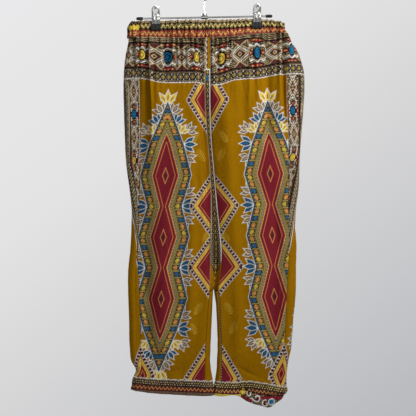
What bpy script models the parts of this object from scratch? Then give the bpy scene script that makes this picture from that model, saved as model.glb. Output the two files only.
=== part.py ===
"""Harem pants hanging from a chrome clip hanger.

Every cut and sewn piece of the pants is a thin closed wall, and so is every piece of the hanger.
Metres, +Z up. The front faces -Y, the wearer's right side is at -X, and the origin is the seat
inside the top of the hook. Heights on the garment are given as drops below the waist's top edge.
"""
import math
from collections import namedtuple

import bmesh
import bpy
import numpy as np
from mathutils import Vector

# ---- Driving dimensions ---------------------------------------------------------------------

SEAM_GAP = 0.0003             # between pieces that are sewn to, or rest on, each other
CLOTH_WALL = 0.0016
CASING_WALL = 0.0030          # two layers of cloth, and the elastic between them
HEM_WALL = 0.0022

HOOK_SEAT_TO_BAR = 0.092
BAR_TO_WAIST = 0.008
BAR_Z = -HOOK_SEAT_TO_BAR
WAIST_Z = -(HOOK_SEAT_TO_BAR + BAR_TO_WAIST)
CROTCH_DROP = 0.690
VALLEY_DROP = 0.575           # where the gusset starts to fold in between the legs
SIDE_ROUNDING = 0.85          # how far each side's turn reaches across, as a share of the half depth
INNER_ROUNDING = 0.004        # the least that the inside of a leg is rounded

BAR_RADIUS = 0.0024
BAR_HALF_LENGTH = 0.166
CAP_RADIUS = 0.0040
CAP_LENGTH = 0.0170
CAP_LIP = 0.0020              # how far in the cap's mouth tapers
CAP_DOME = ((0.0040, 1.00), (0.0015, 0.75), (0.0, 0.35))   # distances from the tip, shares of the radius
HOOK_WIRE_RADIUS = 0.0018
HOOK_BEND_RADIUS = 0.0245
HOOK_SHAFT_TOP = 0.040        # above the bar, where the wire leaves the upright
HOOK_LOOP_ANGLES = (-52.0, 190.0)   # degrees round the loop, from the shaft side to the wire's tip
COLLAR_RADIUS = 0.0070
COLLAR_HEIGHT = 0.0050
COLLAR_BOTTOM_EDGE = (0.0010, 0.85)   # height of the lower rounding, and the share of the radius under it
COLLAR_TOP_EDGE = (0.0015, 0.70)      # the same for the upper rounding
SLEEVE_RADIUS = 0.0048
SLEEVE_LENGTH = 0.018

CLIP_X = {"right": -0.124, "left": 0.135}
CLIP_WIDTH = 0.0205
CLIP_PLATE = 0.0012
CLIP_TOP = 0.029              # above the bar
CLIP_HALF_DEPTH = {"grip": 0.0058, "below bar": 0.0092, "bar": 0.0098, "above bar": 0.0108, "top": 0.0165}
CLIP_BENDS = {"below bar": -0.006, "above bar": 0.008}     # heights about the bar where the plate bends
CLIP_TAPER = {"grip": 0.53, "bar": 0.50, "above bar": 0.49}   # half widths, as shares of the width
CLIP_THUMB_WIDTH = 0.0044     # of the thumb end's very top
CLIP_CROWN = 0.0012           # how far each plate bows out along its middle
EAR_RADIUS = 0.0042
EAR_INSET = {"front": 0.0008, "back": 0.0024}
SPRING_RADIUS = 0.0041
SPRING_LENGTH = 0.0120
GRIP_WIDTH = 0.0256
GRIP_TOP_DROP = 0.0078
GRIP_BOTTOM_DROP = 0.0244
GRIP_THICKNESS = 0.0046
GRIP_CHAMFER = 0.0008

PINCH_HALF_DEPTH = CASING_WALL + SEAM_GAP / 2
PINCH_FLAT = 0.015            # half width of the stretch that the clip presses flat
PINCH_REACH = 0.085           # from the clip's middle to where the band stands open again
PINCH_FADE = (0.030, 0.200)   # drops between which the pinch fades out
PINCH_FLATTENS = 0.8          # share of a gather or fold that the pinch takes away

CASING_GATHERS = 22           # across the front casing, and as many across the back
CASING_GATHER_HEIGHT = 0.0011
CASING_GATHER_TOP = 0.6       # share of that height at the waist's top edge
CASING_WANDER = (0.2, 17)     # how far the gathers wander, in gathers, and how often
CASING_LEVELS = (0.0, 0.35, 0.70, 1.0)   # rows from the casing's top edge to its seam
SETTLING_ROUNDS = 4           # a place on the casing and its drop depend on each other, and settle together
PANEL_GATHERS = 10            # under the casing, across each leg's front or back
PANEL_GATHER_HEIGHT = 0.0030
PANEL_GATHER_LEAST = 0.55     # the weakest gather's share of that height
PANEL_GATHER_LENGTH = (0.050, 0.105)   # shortest and longest gather, before it fades to a third
PANEL_WANDER = ((0.22, 5.1 * math.pi, 1), (0.13, 11.7, 2))   # how far, how often, and shifts per panel
FOLD_RUN_OUT = 0.09           # length over which a long fold starts, and over which it ends
HEM_GATHERS = 14              # round each hem band
HEM_GATHER_HEIGHT = 0.0009
HEM_LEVELS = (0.0, 0.5, 1.0)  # rows from the band's seam to its lower edge
HEM_SECTION_REACH = 0.035     # how much further down the plan of the lower edge is read

# ---- Short tables of the garment's own shape ------------------------------------------------

# One row per level: how far each side reaches from the hook's line, and half the depth, front to back.
Level = namedtuple("Level", "drop right_side left_side half_depth")
LEVELS = [
    Level(0.000, 0.1875, 0.1880, 0.0105),
    Level(0.010, 0.1930, 0.1975, 0.0115),
    Level(0.028, 0.1935, 0.2030, 0.0120),
    Level(0.044, 0.1950, 0.2120, 0.0130),
    Level(0.060, 0.1970, 0.2220, 0.0145),
    Level(0.082, 0.2020, 0.2365, 0.0160),
    Level(0.108, 0.2062, 0.2470, 0.0175),
    Level(0.140, 0.2095, 0.2535, 0.0190),
    Level(0.180, 0.2115, 0.2542, 0.0205),
    Level(0.225, 0.2112, 0.2497, 0.0212),
    Level(0.290, 0.2098, 0.2427, 0.0212),
    Level(0.365, 0.2070, 0.2372, 0.0210),
    Level(0.430, 0.2002, 0.2340, 0.0200),
    Level(0.484, 0.1960, 0.2255, 0.0190),
    Level(0.525, 0.1975, 0.2225, 0.0190),
    Level(0.575, 0.2010, 0.2242, 0.0200),
    Level(0.635, 0.2065, 0.2225, 0.0208),
    Level(0.690, 0.2085, 0.2212, 0.0210),
    Level(0.765, 0.2086, 0.2140, 0.0206),
    Level(0.830, 0.2083, 0.2060, 0.0195),
    Level(0.880, 0.2025, 0.1957, 0.0175),
    Level(0.905, 0.1925, 0.1928, 0.0155),
    Level(0.930, 0.2010, 0.1935, 0.0165),
    Level(0.965, 0.2060, 0.1900, 0.0180),
]

# One row per level: where the front's inner seams lie (first the gusset's two edges, then the inseams),
# where the inner sides of the two legs reach below the crotch, and where the side seams lie on the front.
Seams = namedtuple("Seams", "drop right_edge left_edge right_inner left_inner right_seam left_seam")
SEAMS = [
    Seams(0.044, 0.0001, 0.0141, 0.0090, 0.0110, -0.1670, 0.2050),
    Seams(0.150, -0.0019, 0.0122, 0.0090, 0.0110, -0.1690, 0.2060),
    Seams(0.229, -0.0021, 0.0112, 0.0090, 0.0110, -0.1692, 0.2052),
    Seams(0.306, 0.0021, 0.0131, 0.0090, 0.0110, -0.1708, 0.2072),
    Seams(0.380, 0.0068, 0.0180, 0.0090, 0.0110, -0.1745, 0.2070),
    Seams(0.450, 0.0080, 0.0225, 0.0090, 0.0110, -0.1762, 0.2048),
    Seams(0.525, 0.0062, 0.0286, 0.0090, 0.0110, -0.1810, 0.2045),
    Seams(0.590, 0.0038, 0.0335, 0.0090, 0.0110, -0.1826, 0.2035),
    Seams(0.640, 0.0022, 0.0300, 0.0090, 0.0110, -0.1824, 0.2005),
    Seams(0.690, -0.0006, 0.0222, 0.0092, 0.0110, -0.1805, 0.1958),
    Seams(0.720, -0.0040, 0.0230, 0.0068, 0.0148, -0.1798, 0.1945),
    Seams(0.765, -0.0081, 0.0236, 0.0036, 0.0174, -0.1790, 0.1917),
    Seams(0.830, -0.0131, 0.0260, 0.0002, 0.0176, -0.1787, 0.1870),
    Seams(0.880, -0.0155, 0.0250, -0.0018, 0.0150, -0.1780, 0.1805),
    Seams(0.910, -0.0173, 0.0240, 0.0020, 0.0116, -0.1740, 0.1760),
    Seams(0.930, -0.0180, 0.0235, 0.0054, 0.0080, -0.1790, 0.1760),
    Seams(0.965, -0.0190, 0.0230, 0.0060, 0.0078, -0.1840, 0.1740),
]

# One row per place across the garment: the drop of the waist's top edge and of the casing's lower seam.
Waist = namedtuple("Waist", "x top casing_bottom")
WAIST = [
    Waist(-0.200, 0.0030, 0.0420),
    Waist(-0.152, -0.0028, 0.0410),
    Waist(-0.124, -0.0012, 0.0420),
    Waist(-0.076, -0.0010, 0.0445),
    Waist(-0.012, 0.0000, 0.0470),
    Waist(0.065, 0.0005, 0.0447),
    Waist(0.129, -0.0010, 0.0375),
    Waist(0.181, 0.0047, 0.0368),
    Waist(0.215, 0.0140, 0.0372),
]

# One row per place across the garment: the drops of the hem bands' seam and of their lower edges.
Hem = namedtuple("Hem", "x band_top front_bottom back_bottom")
HEM = [
    Hem(-0.205, 0.9080, 0.9395, 0.9420),
    Hem(-0.157, 0.9130, 0.9475, 0.9480),
    Hem(-0.094, 0.9175, 0.9530, 0.9530),
    Hem(-0.030, 0.9215, 0.9575, 0.9570),
    Hem(0.035, 0.9260, 0.9590, 0.9585),
    Hem(0.062, 0.9270, 0.9575, 0.9590),
    Hem(0.093, 0.9250, 0.9740, 0.9600),
    Hem(0.128, 0.9300, 0.9850, 0.9600),
    Hem(0.146, 0.9330, 0.9890, 0.9600),
    Hem(0.165, 0.9370, 0.9765, 0.9585),
    Hem(0.195, 0.9430, 0.9540, 0.9560),
]
HEM_WARP_START = 0.800        # drop from which the panels' rows lean towards the hem's own line
WAIST_WARP_END = 0.110        # drop by which they are level below the casing

# One row per height of a clip's plate, from its grip to its thumb end.
Rib = namedtuple("Rib", "height half_depth half_width")

# Long soft folds: place across the piece from its inner (0) to its side seam (1), the drops where the
# fold starts and ends, its height (a trough is negative) and its half width, both in metres.
Fold = namedtuple("Fold", "across start end height half_width")
FRONT_FOLDS = {
    "right": [
        Fold(0.12, 0.300, 0.880, 0.0034, 0.012),
        Fold(0.26, 0.080, 0.520, -0.0036, 0.014),
        Fold(0.52, 0.420, 0.905, 0.0030, 0.018),
        Fold(0.80, 0.050, 0.330, -0.0040, 0.010),
        Fold(0.88, 0.520, 0.910, -0.0030, 0.012),
    ],
    "left": [
        Fold(0.10, 0.120, 0.700, -0.0040, 0.013),
        Fold(0.24, 0.480, 0.910, 0.0034, 0.015),
        Fold(0.50, 0.060, 0.420, -0.0030, 0.014),
        Fold(0.74, 0.050, 0.360, -0.0042, 0.012),
        Fold(0.66, 0.560, 0.905, 0.0032, 0.018),
    ],
}
BACK_FOLDS = {
    "right": [
        Fold(0.30, 0.080, 0.500, -0.0036, 0.014),
        Fold(0.52, 0.300, 0.900, 0.0034, 0.017),
        Fold(0.80, 0.120, 0.660, -0.0034, 0.013),
    ],
    "left": [
        Fold(0.36, 0.080, 0.420, -0.0036, 0.014),
        Fold(0.56, 0.420, 0.905, 0.0032, 0.018),
        Fold(0.84, 0.160, 0.640, -0.0036, 0.013),
    ],
}

TOP_ROWS = [0.044, 0.062, 0.084, 0.110, 0.145, 0.185]      # drops of the fine rows, under the casing
LOW_ROWS = [0.230, 0.290, 0.365, 0.430, 0.484, 0.525, 0.590, 0.640,
            CROTCH_DROP + SEAM_GAP, 0.750, 0.825, 0.875, 0.903, 0.925]
FINE_COLUMNS = {"front": 36, "back": 44}                   # halved below the gathers
INNER_COLUMNS = 6                                          # round the inside of each leg
GUSSET_COLUMNS = 6
COLUMNS_PER_GATHER = 3                                     # of the casing and of the hem bands
TURN_POINTS = 33                                           # of a section's round ends
FLAT_POINTS = 41                                           # of its flat runs
TURNED_SIDES = 16
WIRE_SIDES = 12
CLIP_COLUMNS = 6
THUMB_STEPS = 6                                            # of a clip's rounded thumb end
EAR_STEPS = 10                                             # of an ear's round end
HOOK_STEPS = 18                                            # of the hook's round loop
SHAFT_STEPS = 4
SIDES = {"right": -1, "left": 1}
CLOTH_SMOOTH_ANGLE = 40.0                                  # degrees; sharper edges stay sharp
HARDWARE_SMOOTH_ANGLE = 35.0

# Name, colour, roughness and metallic value of every material.
FINISHES = {
    "printed_cotton": ((0.43, 0.24, 0.02), 0.85, 0.0),
    "border_cotton": ((0.20, 0.09, 0.05), 0.85, 0.0),
    "chrome": ((0.80, 0.80, 0.80), 0.15, 1.0),
    "black_rubber": ((0.02, 0.02, 0.02), 0.70, 0.0),
}


# ---- Small helpers --------------------------------------------------------------------------

def clear_scene():
    """Start from an empty scene."""
    for thing in list(bpy.data.objects):
        bpy.data.objects.remove(thing, do_unlink=True)


def material(name):
    """The named finish as a plain Principled material, made once."""
    found = bpy.data.materials.get(name)
    if found:
        return found
    colour, roughness, metallic = FINISHES[name]
    made = bpy.data.materials.new(name)
    made.use_nodes = True
    shader = made.node_tree.nodes["Principled BSDF"]
    shader.inputs["Base Color"].default_value = (*colour, 1.0)
    shader.inputs["Roughness"].default_value = roughness
    shader.inputs["Metallic"].default_value = metallic
    return made


def read_table(table, column, at):
    """Smooth value of one column between a table's rows; the first column is the place."""
    places = [row[0] for row in table]
    values = [getattr(row, column) for row in table]
    slopes = np.gradient(values, places)
    at = min(max(at, places[0]), places[-1])
    low = min(int(np.searchsorted(places, at, side="right")) - 1, len(places) - 2)
    span = places[low + 1] - places[low]
    t = (at - places[low]) / span
    start, end = values[low], values[low + 1]
    return (start * (1 + 2 * t) * (1 - t) ** 2 + end * t * t * (3 - 2 * t)
            + span * (slopes[low] * t * (1 - t) ** 2 - slopes[low + 1] * t * t * (1 - t)))


def smooth_step(low, high, value):
    """0 below low, 1 above high, smooth between them."""
    t = min(max((value - low) / (high - low), 0.0), 1.0)
    return t * t * (3 - 2 * t)


def edge_fade(across, reach):
    """0 at both ends of a piece (0 and 1), and 1 from `reach` inwards."""
    return smooth_step(0.0, reach, across) * (1 - smooth_step(1 - reach, 1.0, across))


def uneven(number):
    """A repeatable value from 0 to 1 that looks random from one whole number to the next."""
    return (math.sin(number * 12.9898) * 43758.5453) % 1.0


def finish_object(name, bm, finish, smooth_angle=HARDWARE_SMOOTH_ANGLE):
    """Triangulate a bmesh and make it the named object."""
    bmesh.ops.triangulate(bm, faces=bm.faces[:])
    bmesh.ops.recalc_face_normals(bm, faces=bm.faces[:])
    mesh = bpy.data.meshes.new(name)
    bm.to_mesh(mesh)
    bm.free()
    mesh.materials.append(material(finish))
    mesh.shade_smooth()
    mesh.set_sharp_from_angle(angle=math.radians(smooth_angle))
    made = bpy.data.objects.new(name, mesh)
    bpy.context.scene.collection.objects.link(made)
    return made


# ---- The garment's sections -----------------------------------------------------------------

def pinch(x, drop):
    """1 where a clip presses the band flat, 0 where the garment stands open."""
    near = max(1 - smooth_step(PINCH_FLAT, PINCH_REACH, abs(x - clip)) for clip in CLIP_X.values())
    return near * (1 - smooth_step(*PINCH_FADE, drop))


def half_depth(x, drop):
    """Half the garment's depth at one place, with the clips' pinch."""
    full = read_table(LEVELS, "half_depth", drop)
    held = pinch(x, drop)
    return full * (1 - held) + PINCH_HALF_DEPTH * held


class Section:
    """Plan curve of one leg and its half of the seat at one level, read by distance along it.

    It starts at the front's inner seam, runs along the front, round the side and along the back to
    the back's inner seam, and on round the inside of the leg to its start. `side_seam`, `back_seam`
    and `end` are the distances of those places.
    """

    def __init__(self, side, drop):
        sign = SIDES[side]
        depth = read_table(LEVELS, "half_depth", drop)
        reach = read_table(LEVELS, side + "_side", drop)
        inner_seam = sign * read_table(SEAMS, side + "_edge", drop)
        inner_reach = sign * read_table(SEAMS, side + "_inner", drop)
        round_side = SIDE_ROUNDING * depth
        round_inner = max(inner_seam - inner_reach, INNER_ROUNDING)
        turn = np.linspace(0, math.pi, TURN_POINTS)
        flat = np.linspace(inner_seam, reach - round_side, FLAT_POINTS)
        zero, one = np.zeros_like(flat), np.ones_like(flat)
        side_normal = np.array([np.sin(turn) / round_side, -np.cos(turn) / depth])
        inner_normal = np.array([-np.sin(turn) / round_inner, np.cos(turn) / depth])
        self.across = np.concatenate([flat, reach - round_side + round_side * np.sin(turn), flat[::-1],
                                      inner_seam - round_inner * np.sin(turn)])
        self.deep = np.concatenate([-one, -np.cos(turn), one, np.cos(turn)])
        normals = np.concatenate([np.array([zero, -one]), side_normal / np.hypot(*side_normal),
                                  np.array([zero, one]), inner_normal / np.hypot(*inner_normal)], axis=1)
        self.normal_across, self.normal_deep = normals
        steps = np.hypot(np.diff(self.across), np.diff(self.deep * depth))
        self.distance = np.concatenate([[0.0], np.cumsum(steps + 1e-9)])   # always growing, also at joins
        self.side_seam = sign * read_table(SEAMS, side + "_seam", drop) - inner_seam
        self.back_seam = self.distance[len(flat) + len(turn) + len(flat) - 1]
        self.end = self.distance[-1]
        self.sign, self.drop = sign, drop

    def place(self, distance):
        """x, y and the outward normal (x, y) at one distance along the curve."""
        x = self.sign * float(np.interp(distance, self.distance, self.across))
        y = half_depth(x, self.drop) * float(np.interp(distance, self.distance, self.deep))
        nx = self.sign * float(np.interp(distance, self.distance, self.normal_across))
        ny = float(np.interp(distance, self.distance, self.normal_deep))
        size = math.hypot(nx, ny)
        return x, y, nx / size, ny / size


def gather_height(across, drop, count, shift):
    """Height of the gathers under the casing: uneven in place, length and height."""
    wander = sum(far * math.sin(often * across + turns * shift) for far, often, turns in PANEL_WANDER)
    phase = across * count + wander
    index = math.floor(phase)
    blend = smooth_step(0.0, 1.0, phase - index)
    chance = (1 - blend) * uneven(index + shift) + blend * uneven(index + 1 + shift)
    strength = PANEL_GATHER_LEAST + (1 - PANEL_GATHER_LEAST) * chance
    shortest, longest = PANEL_GATHER_LENGTH
    length = shortest + (longest - shortest) * strength
    fade = math.exp(-((drop - TOP_ROWS[0]) / length) ** 2)
    return PANEL_GATHER_HEIGHT * strength * fade * edge_fade(across, 0.05) * math.sin(2 * math.pi * phase)


def fold_height(folds, across, width, drop):
    """Height of the long folds at one place of a piece that is `width` metres wide there."""
    total = 0.0
    for fold in folds:
        nearness = math.exp(-((across - fold.across) * width / fold.half_width) ** 2)
        length = smooth_step(fold.start, fold.start + FOLD_RUN_OUT, drop)
        length *= 1 - smooth_step(fold.end - FOLD_RUN_OUT, fold.end, drop)
        total += fold.height * nearness * length
    return total * edge_fade(across, 0.04)


def true_drop(drop, x):
    """The drop of a panel's row at one place: rows follow the casing's seam and the hem's seam."""
    above = read_table(WAIST, "casing_bottom", x) + SEAM_GAP - TOP_ROWS[0]
    below = read_table(HEM, "band_top", x) - SEAM_GAP - LOW_ROWS[-1]
    lift = above * (1 - smooth_step(TOP_ROWS[0], WAIST_WARP_END, drop))
    return drop + lift + below * smooth_step(HEM_WARP_START, LOW_ROWS[-1], drop)


def panel_point(section, distance, height, wall):
    """Outer and inner point of a panel's wall at one distance along a section."""
    x, y, nx, ny = section.place(distance)
    z = WAIST_Z - true_drop(section.drop, x)
    outer = Vector((x + nx * height, y + ny * height, z))
    return outer, outer - Vector((nx, ny, 0)) * wall


# ---- Cloth walls ----------------------------------------------------------------------------

def grid_faces(rows, turned):
    """Faces between rows of point numbers. A row may have half as many cells as the one above it."""
    faces = []
    for upper, lower in zip(rows, rows[1:]):
        ratio = (len(upper) - 1) // (len(lower) - 1)
        for cell in range(len(lower) - 1):
            above = upper[cell * ratio:(cell + 1) * ratio + 1]
            face = [lower[cell], lower[cell + 1]] + above[::-1]
            faces.append(face[::-1] if turned else face)
    return faces


def wall_object(name, pairs, faces, finish):
    """Closed wall from pairs of outer and inner points: both skins, and a rim round each open edge."""
    bm = bmesh.new()
    outer = [bm.verts.new(pair[0]) for pair in pairs]
    inner = [bm.verts.new(pair[1]) for pair in pairs]
    directed = {(a, b) for face in faces for a, b in zip(face, face[1:] + face[:1])}
    for face in faces:
        bm.faces.new([outer[i] for i in face])
        bm.faces.new([inner[i] for i in reversed(face)])
    for a, b in directed:
        if (b, a) not in directed:
            bm.faces.new([outer[b], outer[a], inner[a], inner[b]])
    return finish_object(name, bm, finish, CLOTH_SMOOTH_ANGLE)


def leg_panel(side, face):
    """The front or the back of one leg, with its half of the seat, from casing to hem band."""
    pairs, rows, sections = [], [], []
    folds = (FRONT_FOLDS if face == "front" else BACK_FOLDS)[side]
    shift = 1 + 2 * (side == "left") + (face == "back")
    half_gap = SEAM_GAP / 2
    for drop in TOP_ROWS + LOW_ROWS:
        section = Section(side, drop)
        start = 0.0 if face == "front" else section.side_seam
        stop = section.side_seam if face == "front" else section.back_seam
        width = stop - start
        columns = FINE_COLUMNS[face] if drop in TOP_ROWS else FINE_COLUMNS[face] // 2
        row = []
        for number in range(columns + 1):
            across = number / columns
            distance = start + half_gap + (width - SEAM_GAP) * across
            share = across if face == "front" else max(0.0, (distance - section.side_seam) / width)
            height = gather_height(share, drop, PANEL_GATHERS, shift)
            height += fold_height(folds, share, width, drop)
            height *= 1 - PINCH_FLATTENS * pinch(section.place(distance)[0], drop)
            row.append(len(pairs))
            pairs.append(panel_point(section, distance, height, CLOTH_WALL))
        rows.append(row)
        sections.append(section)
    turned = side == "right"
    faces = grid_faces(rows, turned)
    if face == "back":
        inner_rows = []
        for row, section in zip(rows, sections):
            if section.drop < CROTCH_DROP:
                continue
            inner_row = [row[-1]]
            reach = section.end - section.back_seam - half_gap
            for number in range(1, INNER_COLUMNS + 1):
                distance = section.back_seam + reach * number / INNER_COLUMNS
                inner_row.append(len(pairs))
                pairs.append(panel_point(section, distance, 0.0, CLOTH_WALL))
            inner_rows.append(inner_row)
        faces += grid_faces(inner_rows, turned)
    wall_object(f"{side}_leg_{face}", pairs, faces, "printed_cotton")


def gusset(face):
    """The long narrow wedge between the legs, from the casing to the crotch, on one face."""
    facing = -1 if face == "front" else 1
    half_gap = SEAM_GAP / 2
    pairs, rows = [], []
    for drop in TOP_ROWS + [low for low in LOW_ROWS if low < CROTCH_DROP] + [CROTCH_DROP]:
        left = read_table(SEAMS, "left_edge", drop) - half_gap
        right = read_table(SEAMS, "right_edge", drop) + half_gap
        folded = smooth_step(VALLEY_DROP, CROTCH_DROP, drop)
        row = []
        for number in range(GUSSET_COLUMNS + 1):
            across = number / GUSSET_COLUMNS
            x = right + (left - right) * across
            depth = half_depth(x, drop)
            valley = folded * (depth - CLOTH_WALL - half_gap)
            slope = valley * math.pi * math.cos(math.pi * across) / (left - right)
            wall = CLOTH_WALL * (math.hypot(1.0, slope) if 0 < number < GUSSET_COLUMNS else 1.0)
            y = depth - valley * math.sin(math.pi * across)
            z = WAIST_Z - true_drop(drop, x)
            row.append(len(pairs))
            pairs.append((Vector((x, facing * y, z)), Vector((x, facing * max(y - wall, half_gap), z))))
        rows.append(row)
    wall_object(f"gusset_{face}", pairs, grid_faces(rows, face == "back"), "border_cotton")


def casing_path(face):
    """Function of a drop and a share of the casing's length that gives x, y and the outward normal."""
    def front(drop, share):
        low = read_table(SEAMS, "right_seam", drop) + SEAM_GAP / 2
        high = read_table(SEAMS, "left_seam", drop) - SEAM_GAP / 2
        x = low + (high - low) * share
        return x, -half_depth(x, drop), 0.0, -1.0

    def back(drop, share):
        right, left = Section("right", drop), Section("left", drop)
        half_gap = SEAM_GAP / 2
        run_left = left.back_seam - left.side_seam - half_gap
        run_right = right.back_seam - right.side_seam - half_gap
        right_end = right.place(right.back_seam)[0]
        left_end = left.place(left.back_seam)[0]
        run_middle = left_end - right_end
        along = share * (run_left + run_middle + run_right)
        if along < run_left:
            return left.place(left.side_seam + half_gap + along)
        if along > run_left + run_middle:
            return right.place(right.back_seam - (along - run_left - run_middle))
        x = left_end - (along - run_left)
        return x, half_depth(x, drop), 0.0, 1.0

    return front if face == "front" else back


def casing(face):
    """The gathered elastic casing at the waist: the front between the side seams, or all the rest."""
    path = casing_path(face)
    columns = CASING_GATHERS * COLUMNS_PER_GATHER
    far, often = CASING_WANDER
    pairs, rows = [], []
    for part in CASING_LEVELS:
        row = []
        for number in range(columns + 1):
            share = number / columns
            drop = TOP_ROWS[0] * part
            for _ in range(SETTLING_ROUNDS):
                x, y, nx, ny = path(max(drop, 0.0), share)
                top = read_table(WAIST, "top", x)
                bottom = read_table(WAIST, "casing_bottom", x) - SEAM_GAP
                drop = top + (bottom - top) * part
            wave = math.sin(2 * math.pi * (share * CASING_GATHERS + far * math.sin(often * share)))
            swell = CASING_GATHER_TOP + (1 - CASING_GATHER_TOP) * part
            height = CASING_GATHER_HEIGHT * wave * swell * edge_fade(share, 0.04)
            height *= (1 - pinch(x, drop)) ** 2
            outer = Vector((x + nx * height, y + ny * height, WAIST_Z - drop))
            row.append(len(pairs))
            pairs.append((outer, outer - Vector((nx, ny, 0)) * CASING_WALL))
        rows.append(row)
    wall_object(f"waistband_{face}", pairs, grid_faces(rows, False), "border_cotton")


def hem_band(side):
    """The narrow band round one leg's opening, in soft gathers; the left one droops at the front."""
    columns = HEM_GATHERS * COLUMNS_PER_GATHER
    pairs, rows = [], []
    for part in HEM_LEVELS:
        drop = LOW_ROWS[-1] + HEM_SECTION_REACH * part
        section = Section(side, drop)
        row = []
        for number in range(columns):
            x, y, nx, ny = section.place(section.end * number / columns)
            top = read_table(HEM, "band_top", x)
            toward_back = 0.5 + 0.5 * y / half_depth(x, drop)
            bottom = (read_table(HEM, "front_bottom", x) * (1 - toward_back)
                      + read_table(HEM, "back_bottom", x) * toward_back)
            height = HEM_GATHER_HEIGHT * math.sin(2 * math.pi * HEM_GATHERS * number / columns)
            outer = Vector((x + nx * height, y + ny * height, WAIST_Z - top - (bottom - top) * part))
            row.append(len(pairs))
            pairs.append((outer, outer - Vector((nx, ny, 0)) * HEM_WALL))
        rows.append(row + row[:1])
    wall_object(f"{side}_hem_band", pairs, grid_faces(rows, side == "right"), "border_cotton")


# ---- Hanger ---------------------------------------------------------------------------------

def turned_object(name, profile, axis, centre, finish):
    """Solid turned from (distance along the axis, radius) points; a closed ring if no radius is 0."""
    bm = bmesh.new()
    along = Vector(axis).normalized()
    one = along.orthogonal().normalized()
    other = along.cross(one)
    rings = []
    for reach, radius in profile:
        if radius == 0:
            rings.append([bm.verts.new(Vector(centre) + along * reach)])
            continue
        ring = []
        for number in range(TURNED_SIDES):
            angle = 2 * math.pi * number / TURNED_SIDES
            ring.append(bm.verts.new(Vector(centre) + along * reach
                                     + (one * math.cos(angle) + other * math.sin(angle)) * radius))
        rings.append(ring)
    hollow = all(radius > 0 for _, radius in profile)
    for lower, upper in zip(rings, rings[1:] + (rings[:1] if hollow else [])):
        for number in range(TURNED_SIDES):
            following = (number + 1) % TURNED_SIDES
            corners = [lower[number % len(lower)], lower[following % len(lower)],
                       upper[following % len(upper)], upper[number % len(upper)]]
            bm.faces.new(list(dict.fromkeys(corners)))
    return finish_object(name, bm, finish)


def sleeve(name, radius, length, x):
    """A plain sleeve round the bar, with its middle at x."""
    bore, half = BAR_RADIUS + SEAM_GAP, length / 2
    turned_object(name, [(-half, bore), (-half, radius), (half, radius), (half, bore)],
                  (1, 0, 0), (x, 0, BAR_Z), "chrome")


def tube_along(name, points, radius, finish):
    """Solid round wire along a list of points that lie in the XZ plane, with flat ends."""
    bm = bmesh.new()
    rings = []
    for number, point in enumerate(points):
        before, after = points[max(number - 1, 0)], points[min(number + 1, len(points) - 1)]
        tangent = (after - before).normalized()
        flat = Vector((0, 1, 0))
        lift = tangent.cross(flat)
        rings.append([bm.verts.new(point + (flat * math.cos(angle) + lift * math.sin(angle)) * radius)
                      for angle in (2 * math.pi * side / WIRE_SIDES for side in range(WIRE_SIDES))])
    for lower, upper in zip(rings, rings[1:]):
        for side in range(WIRE_SIDES):
            following = (side + 1) % WIRE_SIDES
            bm.faces.new([lower[side], lower[following], upper[following], upper[side]])
    bm.faces.new(rings[0])
    bm.faces.new(rings[-1][::-1])
    return finish_object(name, bm, finish)


def hook():
    """The wire hook: a short shaft, a bend to the garment's left, and a round loop open at its right."""
    centre_z = -HOOK_BEND_RADIUS + HOOK_WIRE_RADIUS
    foot_z = BAR_Z + SLEEVE_RADIUS + SEAM_GAP
    shaft_top = BAR_Z + HOOK_SHAFT_TOP
    points = [Vector((0, 0, foot_z + (shaft_top - foot_z) * step / SHAFT_STEPS))
              for step in range(SHAFT_STEPS + 1)]
    first, last = (math.radians(angle) for angle in HOOK_LOOP_ANGLES)
    for step in range(HOOK_STEPS + 1):
        angle = first + (last - first) * step / HOOK_STEPS
        points.append(Vector((HOOK_BEND_RADIUS * math.cos(angle), 0,
                              centre_z + HOOK_BEND_RADIUS * math.sin(angle))))
    tube_along("hook", points, HOOK_WIRE_RADIUS, "chrome")


def hanger_bar():
    """The bar with its two end caps, the sleeve at its middle and the collar that holds the hook."""
    end = BAR_HALF_LENGTH
    centre = (0, 0, BAR_Z)
    turned_object("hanger_bar", [(-end, 0), (-end, BAR_RADIUS), (end, BAR_RADIUS), (end, 0)],
                  (1, 0, 0), centre, "chrome")
    bore = BAR_RADIUS + SEAM_GAP
    for side, sign in SIDES.items():
        mouth = end - CAP_LENGTH / 2
        floor = end + SEAM_GAP
        tip = mouth + CAP_LENGTH
        dome = [(tip - back, share * CAP_RADIUS) for back, share in CAP_DOME]
        turned_object(f"{side}_bar_cap",
                      [(floor, 0), (floor, bore), (mouth, bore), (mouth, 0.9 * CAP_RADIUS),
                       (mouth + CAP_LIP, CAP_RADIUS), *dome, (tip, 0)],
                      (sign, 0, 0), centre, "black_rubber")
    sleeve("hook_sleeve", SLEEVE_RADIUS, SLEEVE_LENGTH, 0)
    hole = HOOK_WIRE_RADIUS + SEAM_GAP
    low, low_share = COLLAR_BOTTOM_EDGE
    high, high_share = COLLAR_TOP_EDGE
    turned_object("hook_collar",
                  [(0, hole), (0, low_share * COLLAR_RADIUS), (low, COLLAR_RADIUS),
                   (COLLAR_HEIGHT - high, COLLAR_RADIUS), (COLLAR_HEIGHT, high_share * COLLAR_RADIUS),
                   (COLLAR_HEIGHT, hole)],
                  (0, 0, 1), (0, 0, BAR_Z + SLEEVE_RADIUS + SEAM_GAP), "chrome")


def apply_boolean(base, operation, other):
    """Unite a solid with another one, or cut the other out of it; the other is used up."""
    boolean = base.modifiers.new("boolean", "BOOLEAN")
    boolean.operation = operation
    boolean.solver = "EXACT"
    boolean.object = other
    graph = bpy.context.evaluated_depsgraph_get()
    mesh = bpy.data.meshes.new_from_object(base.evaluated_get(graph))
    base.modifiers.clear()
    base.data = mesh
    bpy.data.objects.remove(other, do_unlink=True)


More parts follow.
